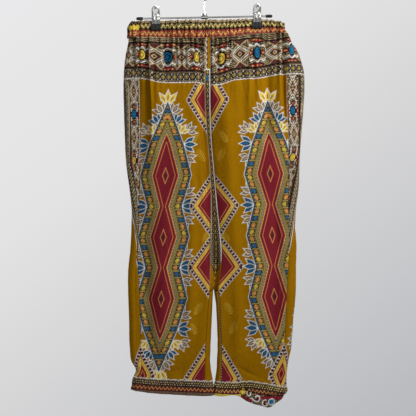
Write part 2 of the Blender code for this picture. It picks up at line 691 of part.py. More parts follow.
def box_object(name, low, high, finish, chamfer=0.0):
    """Plain box between two corners, with its edges cut back by a bevel if asked."""
    bm = bmesh.new()
    bmesh.ops.create_cube(bm, size=1.0)
    size = [b - a for a, b in zip(low, high)]
    middle = [(a + b) / 2 for a, b in zip(low, high)]
    bmesh.ops.scale(bm, vec=size, verts=bm.verts[:])
    bmesh.ops.translate(bm, vec=middle, verts=bm.verts[:])
    if chamfer:
        bmesh.ops.bevel(bm, geom=bm.edges[:], offset=chamfer, segments=1, affect="EDGES")
    return finish_object(name, bm, finish)


def clip_ear(clip_x, face, toward):
    """One side wall of a jaw, towards -X or +X: it reaches from the pressed plate round the bar."""
    facing = -1 if face == "front" else 1
    outer = CLIP_WIDTH / 2 - EAR_INSET[face]
    low, high = sorted((clip_x + toward * outer, clip_x + toward * (outer - CLIP_PLATE)))
    arc = [math.radians(90 - 180 * step / EAR_STEPS) for step in range(EAR_STEPS + 1)]
    outline = [(EAR_RADIUS * math.cos(angle), EAR_RADIUS * math.sin(angle)) for angle in arc]
    reach = CLIP_HALF_DEPTH["bar"]
    outline += [(-reach, -EAR_RADIUS), (-reach, EAR_RADIUS)]
    bm = bmesh.new()
    ends = []
    for x in (low, high):
        ends.append([bm.verts.new((x, -facing * y, BAR_Z + z)) for y, z in outline])
    bm.faces.new(ends[0])
    bm.faces.new(ends[1][::-1])
    for corner in range(len(outline)):
        following = (corner + 1) % len(outline)
        bm.faces.new([ends[0][corner], ends[1][corner], ends[1][following], ends[0][following]])
    return finish_object("ear", bm, "chrome")


def clip_ribs():
    """The rows of a clip's plate, from its grip up to its rounded thumb end."""
    depth, taper = CLIP_HALF_DEPTH, CLIP_TAPER
    grip_z = WAIST_Z - GRIP_TOP_DROP + SEAM_GAP
    low_bend, high_bend = CLIP_BENDS["below bar"], CLIP_BENDS["above bar"]
    ribs = [
        Rib(grip_z, depth["grip"], taper["grip"] * CLIP_WIDTH),
        Rib(BAR_Z + low_bend, depth["below bar"], taper["bar"] * CLIP_WIDTH),
        Rib(BAR_Z, depth["bar"], taper["bar"] * CLIP_WIDTH),
        Rib(BAR_Z + high_bend, depth["above bar"], taper["above bar"] * CLIP_WIDTH),
    ]
    rounding = CLIP_WIDTH / 2
    shoulder = CLIP_TOP - rounding
    for step in range(THUMB_STEPS + 1):
        angle = math.radians(90 * step / THUMB_STEPS)
        height = shoulder + rounding * math.sin(angle)
        lean = (height - high_bend) / (CLIP_TOP - high_bend)
        half_depth_here = depth["above bar"] + (depth["top"] - depth["above bar"]) * lean
        half_width = max(taper["above bar"] * CLIP_WIDTH * math.cos(angle), CLIP_THUMB_WIDTH / 2)
        ribs.append(Rib(BAR_Z + height, half_depth_here, half_width))
    return ribs


def clip_jaw(side, face):
    """One pressed plate of a clip, from its rubber grip to its rounded thumb end, with two ears."""
    facing = -1 if face == "front" else 1
    clip_x = CLIP_X[side]
    pairs, rows = [], []
    for rib in clip_ribs()[::-1]:
        row = []
        for number in range(CLIP_COLUMNS + 1):
            across = 2 * number / CLIP_COLUMNS - 1
            y = facing * (rib.half_depth + CLIP_CROWN * (1 - across * across))
            row.append(len(pairs))
            outer = Vector((clip_x + across * rib.half_width, y, rib.height))
            pairs.append((outer, outer - Vector((0, facing * CLIP_PLATE, 0))))
        rows.append(row)
    jaw = wall_object(f"{side}_clip_{face}_jaw", pairs, grid_faces(rows, face == "back"), "chrome")
    for toward in (-1, 1):
        apply_boolean(jaw, "UNION", clip_ear(clip_x, face, toward))
    bore, reach = BAR_RADIUS + SEAM_GAP, CLIP_WIDTH
    drill = turned_object("drill", [(-reach, 0), (-reach, bore), (reach, bore), (reach, 0)],
                          (1, 0, 0), (clip_x, 0, BAR_Z), "chrome")
    apply_boolean(jaw, "DIFFERENCE", drill)


def clip_grip(side, face):
    """The ribbed rubber boot on a jaw's tip, pressing on the casing."""
    facing = -1 if face == "front" else 1
    inside = PINCH_HALF_DEPTH + SEAM_GAP
    near, far = sorted((facing * inside, facing * (inside + GRIP_THICKNESS)))
    half = GRIP_WIDTH / 2
    box_object(f"{side}_clip_{face}_grip",
               (CLIP_X[side] - half, near, WAIST_Z - GRIP_BOTTOM_DROP),
               (CLIP_X[side] + half, far, WAIST_Z - GRIP_TOP_DROP), "black_rubber", GRIP_CHAMFER)


def clip(side):
    """One spring clip of the hanger."""
    for face in ("front", "back"):
        clip_jaw(side, face)
        clip_grip(side, face)
    sleeve(f"{side}_clip_spring", SPRING_RADIUS, SPRING_LENGTH, CLIP_X[side])


def build():
    """Make every piece of the pants and of their hanger."""
    clear_scene()
    for face in ("front", "back"):
        casing(face)
        gusset(face)
        for side in SIDES:
            leg_panel(side, face)
    for side in SIDES:
        hem_band(side)
        clip(side)
    hanger_bar()
    hook()


build()
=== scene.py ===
"""Printed harem pants on a chrome clip hanger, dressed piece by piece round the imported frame.

Metres, +Z up, the front faces -Y and the wearer's right side is at -X. Heights on the garment are
given as drops below the waist's top edge.
"""

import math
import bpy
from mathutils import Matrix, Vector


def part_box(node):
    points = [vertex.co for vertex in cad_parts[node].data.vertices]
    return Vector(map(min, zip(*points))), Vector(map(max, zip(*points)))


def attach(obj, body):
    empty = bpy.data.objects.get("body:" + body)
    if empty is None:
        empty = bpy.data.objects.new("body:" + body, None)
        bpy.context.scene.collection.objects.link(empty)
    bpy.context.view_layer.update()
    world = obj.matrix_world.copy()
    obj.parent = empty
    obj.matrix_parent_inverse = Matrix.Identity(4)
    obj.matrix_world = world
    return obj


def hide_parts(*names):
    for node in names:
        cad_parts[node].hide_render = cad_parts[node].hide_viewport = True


bl_info = {
    "name": "Harem Pants on a Clip Hanger",
    "version": (1, 0, 0),
    "blender": (4, 5, 0),
    "location": "3D View > Sidebar > Harem Pants",
    "description": "Hanging printed pants with an elastic waist, their clip hanger and a plain studio",
    "category": "Add Mesh",
}

from collections import namedtuple

import bmesh
import bpy
import numpy as np
from mathutils import Vector

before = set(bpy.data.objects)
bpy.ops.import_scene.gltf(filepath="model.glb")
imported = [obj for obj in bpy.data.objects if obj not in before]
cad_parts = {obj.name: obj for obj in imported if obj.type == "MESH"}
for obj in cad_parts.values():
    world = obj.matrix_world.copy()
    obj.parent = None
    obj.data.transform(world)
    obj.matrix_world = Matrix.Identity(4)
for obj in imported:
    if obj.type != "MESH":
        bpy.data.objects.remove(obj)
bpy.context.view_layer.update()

# ---- Sizes: those read from the frame, then the garment's own ----

SEAM_GAP = 0.0003
SIDES = {"right": -1, "left": 1}
BAR_LOW, BAR_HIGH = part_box("hanger_bar")
BAR_RADIUS = (BAR_HIGH.z - BAR_LOW.z) / 2
BAR_Z = (BAR_HIGH.z + BAR_LOW.z) / 2
BAR_HALF_LENGTH = BAR_HIGH.x
WAIST_BELOW_BAR = 0.008
WAIST_Z = BAR_Z - WAIST_BELOW_BAR
GRIP_BOX = {side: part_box(f"{side}_clip_front_grip") for side in SIDES}
CLIP_X = {side: (low.x + high.x) / 2 for side, (low, high) in GRIP_BOX.items()}

CLOTH_WALL = 0.0016
CASING_WALL = 0.0030
HEM_WALL = 0.0022
PINCH_HALF_DEPTH = CASING_WALL + SEAM_GAP / 2
PINCH_FLAT = 0.015
PINCH_REACH = 0.085
PINCH_FADE = (0.030, 0.200)
PINCH_FLATTENS = 0.8          # the share of the gathers and folds that a clip takes away

PANEL_TOP = 0.044             # drops of the panels' upper and lower edges, before they follow the seams
PANEL_BOTTOM = 0.925
CROTCH_DROP = 0.690
VALLEY_DROP = 0.575
VALLEY_DEPTH = {"front": 0.0212, "back": 0.0080}
VALLEY_STEEP = 0.0050         # half width of the side towards the right leg, and of the slow side
VALLEY_SLOW = {"front": 0.0262, "back": 0.0200}
SIDE_FALL = 0.0180
WAIST_WARP_END = 0.110
HEM_WARP_START = 0.800
SIDE_ROUNDING = 0.85          # length of the rounding at each side, in half depths
INNER_ROUNDING = 0.004
FLAT_POINTS, TURN_POINTS = 41, 33     # points of a section along each face and round each side

CASING_FLARE = 0.0030         # at the wearer's left end: how far the casing's foot reaches out
CASING_CORNER = 0.0070        # and how far its top corner is rounded off
CASING_GATHERS = 22
CASING_PUFFS = 33
PANEL_GATHERS = 10
PANEL_GATHER_HEIGHT = 0.0030
PANEL_GATHER_LENGTH = (0.050, 0.105)
FINE_GATHER_PITCH = 0.0105
FINE_GATHER_HEIGHT = 0.0040
FINE_GATHER_LENGTH = 0.040
FOLD_RUN_OUT = 0.09           # over which a long fold starts and ends
FOLD_EXTRA = 1.9              # how much deeper than the solids' folds the thin cloth's are
HEM_GATHERS = 14
HEM_GATHER_HEIGHT = 0.0009
HEM_HEIGHT = 0.035
CASING_DROP = 0.052           # down to which the casing's plan is read
CASING_PRINT = 0.041          # height of the casing's print
GUSSET_BORDER_DROP = 0.128    # where the gusset's dark border strip starts
DROOP_X, DROOP_DROP = 0.085, 0.948    # a point of the crease over the left hem's drooping corner
DROOP_SLOPE = 0.16

# Points across and down each dense sheet.
FRONT_GRID = (136, 600)
BACK_GRID = (160, 540)
INSIDE_COLUMNS = 22
GUSSET_GRID = (15, 420)
CASING_COLUMNS = {"front": 560, "back": 640}
CASING_ROUND = (46, 16)       # points down the outside and up the inside of a folded strip
HEM_COLUMNS = 330
HEM_ROUND = (40, 18)
SEAM_TURN = 0.0030            # how far each cut edge turns in at its seam
GROOVE_DEPTH, GROOVE_HALF_WIDTH = 0.0011, 0.0022
CASING_LEVELS, HEM_LEVELS = 14, 8     # levels at which the plans of the bands are read
CASING_WEAVE, HEM_WEAVE = 0.045, 0.036     # heights of the bands' cloth, for the scale of its weave

# ---- Short tables of the garment's own shape ---------------------

def table(row_type, *rows):
    """Rows of a table, made from their plain values."""
    return [row_type(*row) for row in rows]


# One row per level: how far each side reaches from the hook's line, and half the depth, front to back.
Level = namedtuple("Level", "drop right_side left_side half_depth")
LEVELS = table(
    Level,
    (0.000, 0.1875, 0.1880, 0.0105),
    (0.010, 0.1930, 0.1975, 0.0115),
    (0.028, 0.1935, 0.2030, 0.0120),
    (0.044, 0.1950, 0.2120, 0.0130),
    (0.060, 0.1970, 0.2220, 0.0145),
    (0.082, 0.2020, 0.2365, 0.0160),
    (0.108, 0.2062, 0.2470, 0.0175),
    (0.140, 0.2095, 0.2535, 0.0190),
    (0.180, 0.2115, 0.2542, 0.0205),
    (0.225, 0.2112, 0.2497, 0.0212),
    (0.290, 0.2098, 0.2427, 0.0212),
    (0.365, 0.2070, 0.2372, 0.0210),
    (0.430, 0.2002, 0.2340, 0.0200),
    (0.484, 0.1960, 0.2255, 0.0190),
    (0.525, 0.1975, 0.2225, 0.0190),
    (0.575, 0.2010, 0.2242, 0.0200),
    (0.635, 0.2065, 0.2225, 0.0208),
    (0.690, 0.2085, 0.2212, 0.0210),
    (0.765, 0.2086, 0.2140, 0.0206),
    (0.830, 0.2083, 0.2060, 0.0195),
    (0.880, 0.2025, 0.1957, 0.0175),
    (0.905, 0.1925, 0.1928, 0.0155),
    (0.930, 0.2010, 0.1935, 0.0165),
    (0.965, 0.2060, 0.1900, 0.0180),
)

# One row per level: the gusset's edges and the inseams on the front, the reach of the inner sides of
# the two legs below the crotch, and the side seams on the front.
Seams = namedtuple("Seams", "drop right_edge left_edge right_inner left_inner right_seam left_seam")
SEAMS = table(
    Seams,
    (0.044, 0.0001, 0.0141, 0.0090, 0.0110, -0.1670, 0.2050),
    (0.150, -0.0019, 0.0122, 0.0090, 0.0110, -0.1690, 0.2060),
    (0.229, -0.0021, 0.0112, 0.0090, 0.0110, -0.1692, 0.2052),
    (0.306, 0.0021, 0.0131, 0.0090, 0.0110, -0.1708, 0.2072),
    (0.380, 0.0068, 0.0180, 0.0090, 0.0110, -0.1745, 0.2070),
    (0.450, 0.0080, 0.0225, 0.0090, 0.0110, -0.1762, 0.2048),
    (0.525, 0.0062, 0.0286, 0.0090, 0.0110, -0.1810, 0.2045),
    (0.590, 0.0038, 0.0335, 0.0090, 0.0110, -0.1826, 0.2035),
    (0.640, 0.0022, 0.0300, 0.0090, 0.0110, -0.1824, 0.2005),
    (0.690, -0.0006, 0.0222, 0.0092, 0.0110, -0.1805, 0.1958),
    (0.720, -0.0040, 0.0230, 0.0068, 0.0148, -0.1798, 0.1945),
    (0.765, -0.0081, 0.0236, 0.0036, 0.0174, -0.1790, 0.1917),
    (0.830, -0.0131, 0.0260, 0.0002, 0.0176, -0.1787, 0.1870),
    (0.880, -0.0155, 0.0250, -0.0018, 0.0150, -0.1780, 0.1805),
    (0.910, -0.0173, 0.0240, 0.0020, 0.0116, -0.1740, 0.1760),
    (0.930, -0.0180, 0.0235, 0.0054, 0.0080, -0.1790, 0.1760),
    (0.965, -0.0190, 0.0230, 0.0060, 0.0078, -0.1840, 0.1740),
)

# One row per place across the garment: the drop of the waist's top edge and of the casing's lower seam.
Waist = namedtuple("Waist", "x top casing_bottom")
WAIST = table(
    Waist,
    (-0.200, 0.0030, 0.0420),
    (-0.152, -0.0028, 0.0410),
    (-0.124, -0.0012, 0.0420),
    (-0.076, -0.0010, 0.0445),
    (-0.012, 0.0000, 0.0470),
    (0.065, 0.0005, 0.0447),
    (0.129, -0.0010, 0.0375),
    (0.181, 0.0047, 0.0368),
    (0.215, 0.0140, 0.0372),
)

# One row per place across the garment: the drops of the hem bands' seam and of their lower edges.
Hem = namedtuple("Hem", "x band_top front_bottom back_bottom")
HEM = table(
    Hem,
    (-0.205, 0.9080, 0.9395, 0.9420),
    (-0.157, 0.9130, 0.9475, 0.9480),
    (-0.094, 0.9175, 0.9530, 0.9530),
    (-0.030, 0.9215, 0.9575, 0.9570),
    (0.035, 0.9260, 0.9590, 0.9585),
    (0.062, 0.9270, 0.9575, 0.9590),
    (0.093, 0.9250, 0.9740, 0.9600),
    (0.128, 0.9300, 0.9850, 0.9600),
    (0.146, 0.9330, 0.9890, 0.9600),
    (0.165, 0.9370, 0.9765, 0.9585),
    (0.195, 0.9430, 0.9540, 0.9560),
)

# Long soft folds, as in the solids: place across the piece from its inner (0) to its side seam (1), the
# drops where the fold starts and ends, its height (a trough is negative) and its half width.
Fold = namedtuple("Fold", "across start end height half_width")
FOLDS = {
    ("right", "front"): table(
        Fold,
        (0.255, 0.290, 0.860, 0.0036, 0.013),
        (0.64, 0.420, 0.905, 0.0034, 0.018),
        (0.80, 0.050, 0.330, -0.0040, 0.010),
        (0.88, 0.520, 0.910, -0.0030, 0.012),
    ),
    ("left", "front"): table(
        Fold,
        (0.215, 0.170, 0.640, 0.0034, 0.018),
        (0.27, 0.600, 0.910, 0.0030, 0.015),
        (0.44, 0.060, 0.330, -0.0030, 0.013),
        (0.74, 0.050, 0.360, -0.0042, 0.012),
        (0.55, 0.420, 0.860, 0.0034, 0.020),
        (0.82, 0.400, 0.820, -0.0036, 0.014),
    ),
    ("right", "back"): table(
        Fold,
        (0.30, 0.080, 0.500, -0.0036, 0.014),
        (0.52, 0.300, 0.900, 0.0034, 0.017),
        (0.80, 0.120, 0.660, -0.0034, 0.013),
    ),
    ("left", "back"): table(
        Fold,
        (0.36, 0.080, 0.420, -0.0036, 0.014),
        (0.56, 0.420, 0.905, 0.0032, 0.018),
        (0.84, 0.160, 0.640, -0.0036, 0.013),
    ),
}

# Deep narrow pleats that start at the casing: place across as above, the drop where they end, depth
# (below zero for a ridge), half width, and 1 where the slow slope lies towards +X or -1 towards -X.
Pleat = namedtuple("Pleat", "across end depth half_width turn", defaults=[1])
PLEATS = {
    ("right", "front"): table(
        Pleat,
        (0.067, 0.170, 0.0080, 0.0034), (0.160, 0.130, 0.0080, 0.0030),
        (0.270, 0.080, 0.0040, 0.0022), (0.365, 0.110, 0.0066, 0.0026),
        (0.457, 0.145, 0.0080, 0.0030), (0.545, 0.085, 0.0042, 0.0022),
        (0.633, 0.165, 0.0084, 0.0030), (0.740, 0.085, 0.0044, 0.0024),
        (0.830, 0.420, -0.0075, 0.0040), (0.940, 0.100, 0.0050, 0.0024),
    ),
    ("left", "front"): table(
        Pleat,
        (0.040, 0.150, 0.0064, 0.0030), (0.120, 0.210, 0.0084, 0.0032),
        (0.205, 0.105, 0.0046, 0.0024), (0.300, 0.125, 0.0040, 0.0026),
        (0.410, 0.090, 0.0042, 0.0024), (0.500, 0.260, -0.0056, 0.0036, -1),
        (0.620, 0.100, 0.0042, 0.0024), (0.740, 0.130, 0.0046, 0.0026),
        (0.860, 0.100, 0.0042, 0.0026), (0.965, 0.340, 0.0080, 0.0030),
    ),
    ("right", "back"): table(
        Pleat,
        (0.04, 0.150, 0.0060, 0.0030), (0.14, 0.100, 0.0040, 0.0026),
        (0.27, 0.180, 0.0066, 0.0032), (0.38, 0.100, 0.0044, 0.0026),
        (0.50, 0.150, 0.0058, 0.0030), (0.61, 0.095, 0.0040, 0.0024),
        (0.74, 0.200, 0.0068, 0.0032), (0.86, 0.110, 0.0046, 0.0026),
        (0.95, 0.140, 0.0050, 0.0030),
    ),
    ("left", "back"): table(
        Pleat,
        (0.13, 0.130, 0.0044, 0.0028), (0.24, 0.095, 0.0040, 0.0024),
        (0.36, 0.190, 0.0066, 0.0032), (0.47, 0.110, 0.0046, 0.0026),
        (0.58, 0.160, 0.0060, 0.0030), (0.70, 0.090, 0.0040, 0.0024),
        (0.80, 0.140, 0.0056, 0.0030), (0.92, 0.180, 0.0060, 0.0032),
    ),
}

# Slanting creases: place across and drop of the middle, length, lean from upright in degrees, height
# (a trough is negative) and half width.
Crease = namedtuple("Crease", "across drop length lean height half_width")
CREASES = {
    ("right", "front"): table(
        Crease,
        (0.66, 0.640, 0.110, 8, -0.0016, 0.0045), (0.58, 0.590, 0.070, -14, 0.0013, 0.0040),
        (0.30, 0.800, 0.120, 30, -0.0016, 0.0060), (0.20, 0.705, 0.090, 42, 0.0014, 0.0055),
        (0.84, 0.870, 0.080, -38, -0.0022, 0.0050), (0.92, 0.800, 0.100, -18, 0.0016, 0.0060),
        (0.40, 0.330, 0.140, 6, 0.0016, 0.0080), (0.15, 0.450, 0.160, -5, -0.0018, 0.0070),
        (0.50, 0.900, 0.050, 75, -0.0014, 0.0050), (0.72, 0.480, 0.120, 10, 0.0014, 0.0070),
    ),
    ("left", "front"): table(
        Crease,
        (0.12, 0.880, 0.070, -36, -0.0030, 0.0032), (0.22, 0.860, 0.060, -52, 0.0020, 0.0040),
        (0.45, 0.900, 0.070, 64, -0.0020, 0.0045), (0.30, 0.760, 0.130, -24, 0.0018, 0.0060),
        (0.60, 0.620, 0.120, -8, -0.0016, 0.0055), (0.86, 0.520, 0.160, 6, 0.0020, 0.0060),
        (0.92, 0.700, 0.160, -7, -0.0022, 0.0050), (0.40, 0.450, 0.120, 12, 0.0014, 0.0070),
        (0.74, 0.860, 0.080, 30, 0.0018, 0.0050),
    ),
    ("right", "back"): table(
        Crease,
        (0.45, 0.610, 0.140, 9, -0.0018, 0.0055), (0.70, 0.560, 0.120, -22, 0.0018, 0.0060),
        (0.80, 0.690, 0.100, -48, -0.0022, 0.0050), (0.35, 0.790, 0.110, 28, 0.0016, 0.0060),
        (0.08, 0.500, 0.220, 3, -0.0024, 0.0050), (0.60, 0.880, 0.060, 66, -0.0018, 0.0050),
        (0.20, 0.860, 0.090, -30, 0.0018, 0.0050),
    ),
    ("left", "back"): table(
        Crease,
        (0.40, 0.590, 0.130, -10, -0.0018, 0.0055), (0.68, 0.540, 0.110, 24, 0.0018, 0.0060),
        (0.82, 0.680, 0.100, 50, -0.0022, 0.0050), (0.30, 0.770, 0.120, -28, 0.0016, 0.0060),
        (0.07, 0.620, 0.240, -3, -0.0024, 0.0050), (0.55, 0.890, 0.060, -62, -0.0018, 0.0050),
        (0.16, 0.850, 0.090, 32, 0.0018, 0.0050),
    ),
}


# ---- Settings that a user would change ---------------------------

def dye(name, description, colour):
    """A colour of the print, as a property."""
    return bpy.props.FloatVectorProperty(name=name, description=description, default=colour,
                                         subtype="COLOR", min=0.0, max=1.0)


def length(name, description, metres):
    """A length in metres, as a property."""
    return bpy.props.FloatProperty(name=name, description=description, default=metres,
                                   min=0.0, unit="LENGTH", precision=5)


class HaremPantsCloth(bpy.types.PropertyGroup):
    """Dyes and relief of the printed cotton"""

    ground: dye("Ground", "Mustard ground of the print", (0.316, 0.147, 0.0011))
    crimson: dye("Crimson", "Hearts of the large figures", (0.205, 0.0165, 0.0290))
    maroon: dye("Maroon", "Beads and lozenges", (0.088, 0.0240, 0.0240))
    ink: dye("Ink", "Near-black outlines", (0.0060, 0.0045, 0.0055))
    umber: dye("Umber", "Dark ground of the border bands", (0.0210, 0.0115, 0.0100))
    brown: dye("Brown", "Leaves and fine lines", (0.160, 0.0980, 0.0620))
    olive: dye("Olive", "Beaded frames", (0.370, 0.275, 0.0850))
    tan: dye("Tan", "Fine lines of the bands", (0.620, 0.490, 0.2700))
    yellow: dye("Yellow", "Small yellow figures", (0.760, 0.550, 0.0700))
    orange: dye("Orange", "Gold lines and round stones", (0.760, 0.350, 0.0900))
    straw: dye("Straw", "Upper zigzag of the casing", (0.880, 0.700, 0.2600))
    amber: dye("Amber", "Lower zigzag of the casing and the hems", (0.900, 0.480, 0.1500))
    cream: dye("Cream", "Undyed outlines", (0.810, 0.795, 0.7700))
    blue: dye("Blue", "Ovals and roundels", (0.0180, 0.155, 0.3200))
    navy: dye("Navy", "Leaves and dashes", (0.0230, 0.0700, 0.1400))
    fold_strength: bpy.props.FloatProperty(name="Fold strength", default=1.0, min=0.0, max=1.5,
                                           description="Multiplies the depth of pleats and creases")
    weave_pitch: length("Weave pitch", "Distance from one yarn of the plain weave to the next", 0.0005)


# Names of the dyes among the cloth's settings.
DYES = [name for name in HaremPantsCloth.__annotations__ if name not in {"fold_strength", "weave_pitch"}]


class HaremPantsHanger(bpy.types.PropertyGroup):
    """Finish of the clip hanger"""

    metal: dye("Metal", "Chrome of the hanger", (0.90, 0.90, 0.89))
    rubber: dye("Rubber", "Black rubber of the grips and caps", (0.0045, 0.0052, 0.0052))
    wire_sides: bpy.props.IntProperty(name="Wire sides", default=28, min=8, max=64,
                                      description="Facets round each wire")


class HaremPantsStage(bpy.types.PropertyGroup):
    """Floor, light and camera"""

    floor_drop: length("Floor drop", "From the hook's seat down to the floor", 1.9)
    floor_radius: length("Floor radius", "Radius of the round floor", 2.5)
    camera_distance: length("Camera distance", "From the camera to the garment", 2.4)
    camera_height: bpy.props.FloatProperty(name="Camera height", default=-0.58, unit="LENGTH",
                                           description="Height of the camera from the hook's seat")
    frame_width: length("Frame width", "Width that the camera takes in at the garment", 1.065)
    roll: bpy.props.FloatProperty(name="Roll", default=math.radians(1.1), subtype="ANGLE",
                                  description="Lean of the camera")


# ---- Small helpers -----------------------------------------------

def read_table(rows, column, at):
    """Smooth value of one column between a table's rows; the first column is the place."""
    places = np.array([row[0] for row in rows])
    values = np.array([getattr(row, column) for row in rows])
    slopes = np.gradient(values, places)
    at = np.clip(at, places[0], places[-1])
    low = np.minimum(np.searchsorted(places, at, side="right") - 1, len(places) - 2)
    step = places[low + 1] - places[low]
    t = (at - places[low]) / step
    return (values[low] * (1 + 2 * t) * (1 - t) ** 2 + values[low + 1] * t * t * (3 - 2 * t)
            + step * (slopes[low] * t * (1 - t) ** 2 - slopes[low + 1] * t * t * (1 - t)))


def smooth_step(low, high, value):
    """0 below low, 1 above high, smooth between them."""
    t = np.clip((value - low) / (high - low), 0.0, 1.0)
    return t * t * (3 - 2 * t)


def fade_at_ends(share, reach):
    """1 along a piece, and fading to 0 over the same reach at both of its ends."""
    return smooth_step(0.0, reach, share) * (1 - smooth_step(1 - reach, 1.0, share))


def bell(distance, half_width):
    """1 on a line and fading smoothly on both sides of it."""
    return np.exp(-(distance / half_width) ** 2)


def turned_by(across, down, degrees):
    """How far down along a line that leans from upright, and how far aside of it."""
    lean = math.radians(degrees)
    return (across * math.sin(lean) + down * math.cos(lean),
            across * math.cos(lean) - down * math.sin(lean))


def uneven(number):
    """A repeatable value from 0 to 1 that looks random from one whole number to the next."""
    return (np.sin(number * 12.9898) * 43758.5453) % 1.0


def soft_waves(a, b, pitch_a, pitch_b, seed):
    """Gentle uneven waves from about -1 to 1 over two coordinates."""
    total = 0.0
    for k in range(6):
        turn = 2 * math.pi * uneven(seed + 7 * k + 1)
        lean = 0.5 * (uneven(seed + 7 * k + 2) - 0.5)
        stretch = 0.6 + 0.9 * uneven(seed + 7 * k + 3)
        wander = 1.3 * np.sin(2 * math.pi * b / pitch_b * (0.7 + 0.5 * uneven(seed + k)) + turn)
        total = total + np.sin(2 * math.pi * stretch * (a / pitch_a + lean * b / pitch_b) + turn + wander)
    return total / 3.5


# ---- The garment's sections --------------------------------------

def from_clip(x):
    """Distance across from the middle of the nearer clip."""
    return np.min([np.abs(x - clip) for clip in CLIP_X.values()], axis=0)


def pinch(x, drop):
    """1 where a clip presses the band flat, 0 where the garment stands open."""
    return (1 - smooth_step(PINCH_FLAT, PINCH_REACH, from_clip(x))) * (1 - smooth_step(*PINCH_FADE, drop))


def half_depth(x, drop):
    """Half the garment's depth at one place, with the clips' pinch."""
    held = pinch(x, drop)
    return read_table(LEVELS, "half_depth", drop) * (1 - held) + PINCH_HALF_DEPTH * held


class Section:
    """Plan curve of one leg and its half of the seat at one level, read by distance along it.

    It starts at the front's inner seam, runs along the front, round the side and along the back to
    the back's inner seam, and on round the inside of the leg to its start.
    """

    def __init__(self, side, drop):
        sign = SIDES[side]
        depth = read_table(LEVELS, "half_depth", drop)
        reach = read_table(LEVELS, side + "_side", drop)
        inner_seam = sign * read_table(SEAMS, side + "_edge", drop)
        inner_reach = sign * read_table(SEAMS, side + "_inner", drop)
        round_side = SIDE_ROUNDING * depth
        round_inner = max(inner_seam - inner_reach, INNER_ROUNDING)
        turn = np.linspace(0, math.pi, TURN_POINTS)
        flat = np.linspace(inner_seam, reach - round_side, FLAT_POINTS)
        zero, one = np.zeros_like(flat), np.ones_like(flat)
        side_normal = np.array([np.sin(turn) / round_side, -np.cos(turn) / depth])
        inner_normal = np.array([-np.sin(turn) / round_inner, np.cos(turn) / depth])
        self.across = np.concatenate([flat, reach - round_side + round_side * np.sin(turn), flat[::-1],
                                      inner_seam - round_inner * np.sin(turn)])
        self.deep = np.concatenate([-one, -np.cos(turn), one, np.cos(turn)])
        normals = np.concatenate([np.array([zero, -one]), side_normal / np.hypot(*side_normal),
                                  np.array([zero, one]), inner_normal / np.hypot(*inner_normal)], axis=1)
        self.normal_across, self.normal_deep = normals
        steps = np.hypot(np.diff(self.across), np.diff(self.deep * depth))
        self.distance = np.concatenate([[0.0], np.cumsum(steps + 1e-9)])
        self.side_seam = sign * read_table(SEAMS, side + "_seam", drop) - inner_seam
        self.back_seam = self.distance[2 * FLAT_POINTS + TURN_POINTS - 1]
        self.end = self.distance[-1]
        self.sign, self.drop = sign, drop

    def along(self, distance):
        """x, y and the outward normal (x, y) at distances along the curve, one row each."""
        x = self.sign * np.interp(distance, self.distance, self.across)
        y = half_depth(x, self.drop) * np.interp(distance, self.distance, self.deep)
        nx = self.sign * np.interp(distance, self.distance, self.normal_across)
        ny = np.interp(distance, self.distance, self.normal_deep)
        size = np.hypot(nx, ny)
        return np.array([x, y, nx / size, ny / size])


def true_drop(drop, x):
    """The drop of a panel's row at one place: rows follow the casing's seam and the hem's seam."""
    above = read_table(WAIST, "casing_bottom", x) + SEAM_GAP - PANEL_TOP
    below = read_table(HEM, "band_top", x) - SEAM_GAP - PANEL_BOTTOM
    lift = above * (1 - smooth_step(PANEL_TOP, WAIST_WARP_END, drop))
    return drop + lift + below * smooth_step(HEM_WARP_START, PANEL_BOTTOM, drop)


# ---- Relief of the cloth -----------------------------------------

def gather_height(across, drop, shift):
    """Height of the gathers under the casing: uneven in place, length and height."""
    wander = 0.22 * np.sin(5.1 * across * math.pi + shift) + 0.13 * np.sin(11.7 * across + 2 * shift)
    phase = across * PANEL_GATHERS + wander
    index = np.floor(phase)
    blend = smooth_step(0.0, 1.0, phase - index)
    strength = 0.55 + 0.45 * ((1 - blend) * uneven(index + shift) + blend * uneven(index + 1 + shift))
    shortest, longest = PANEL_GATHER_LENGTH
    reach = shortest + (longest - shortest) * strength
    fade = np.exp(-((drop - PANEL_TOP) / reach) ** 2)
    return PANEL_GATHER_HEIGHT * strength * fade * np.sin(2 * math.pi * phase)


def fine_gather_height(across, width, drop, shift):
    """Small puckers close under the casing's stitching."""
    wander = 0.8 * np.sin(23 * across + shift) + 0.5 * np.sin(51 * across)
    phase = across * width / FINE_GATHER_PITCH + wander
    strength = 0.5 + 0.5 * np.sin(phase * 0.61 + shift)
    crest = 1.2 * np.sqrt(np.abs(np.sin(math.pi * phase)) + 0.003) - 0.9
    fade = np.exp(-(drop - PANEL_TOP) / FINE_GATHER_LENGTH)
    return FINE_GATHER_HEIGHT * (0.35 + 0.65 * strength) * fade * crest


def fold_height(folds, across, width, drop):
    """Height of the long folds at one place of a piece that is `width` metres wide there."""
    total = 0.0
    for fold in folds:
        nearness = bell((across - fold.across) * width, fold.half_width)
        reach = smooth_step(fold.start, fold.start + FOLD_RUN_OUT, drop)
        reach = reach * (1 - smooth_step(fold.end - FOLD_RUN_OUT, fold.end, drop))
        total = total + fold.height * nearness * reach
    return total


def pleat_shape(pleats, across, width, drop, sign):
    """Each pleat's distance towards its slow side, spread, strength and turn at one place."""
    for number, pleat in enumerate(pleats):
        drift = 0.003 * np.sin(18.0 * drop + 2.4 * number)
        away = ((across - pleat.across) * width - drift) * sign * pleat.turn
        fade = 1 - smooth_step(0.45 * pleat.end, pleat.end, drop)
        spread = 0.85 * pleat.half_width * (1 + 1.6 * smooth_step(PANEL_TOP, pleat.end, drop))
        yield away, spread, pleat.depth * fade, pleat.turn


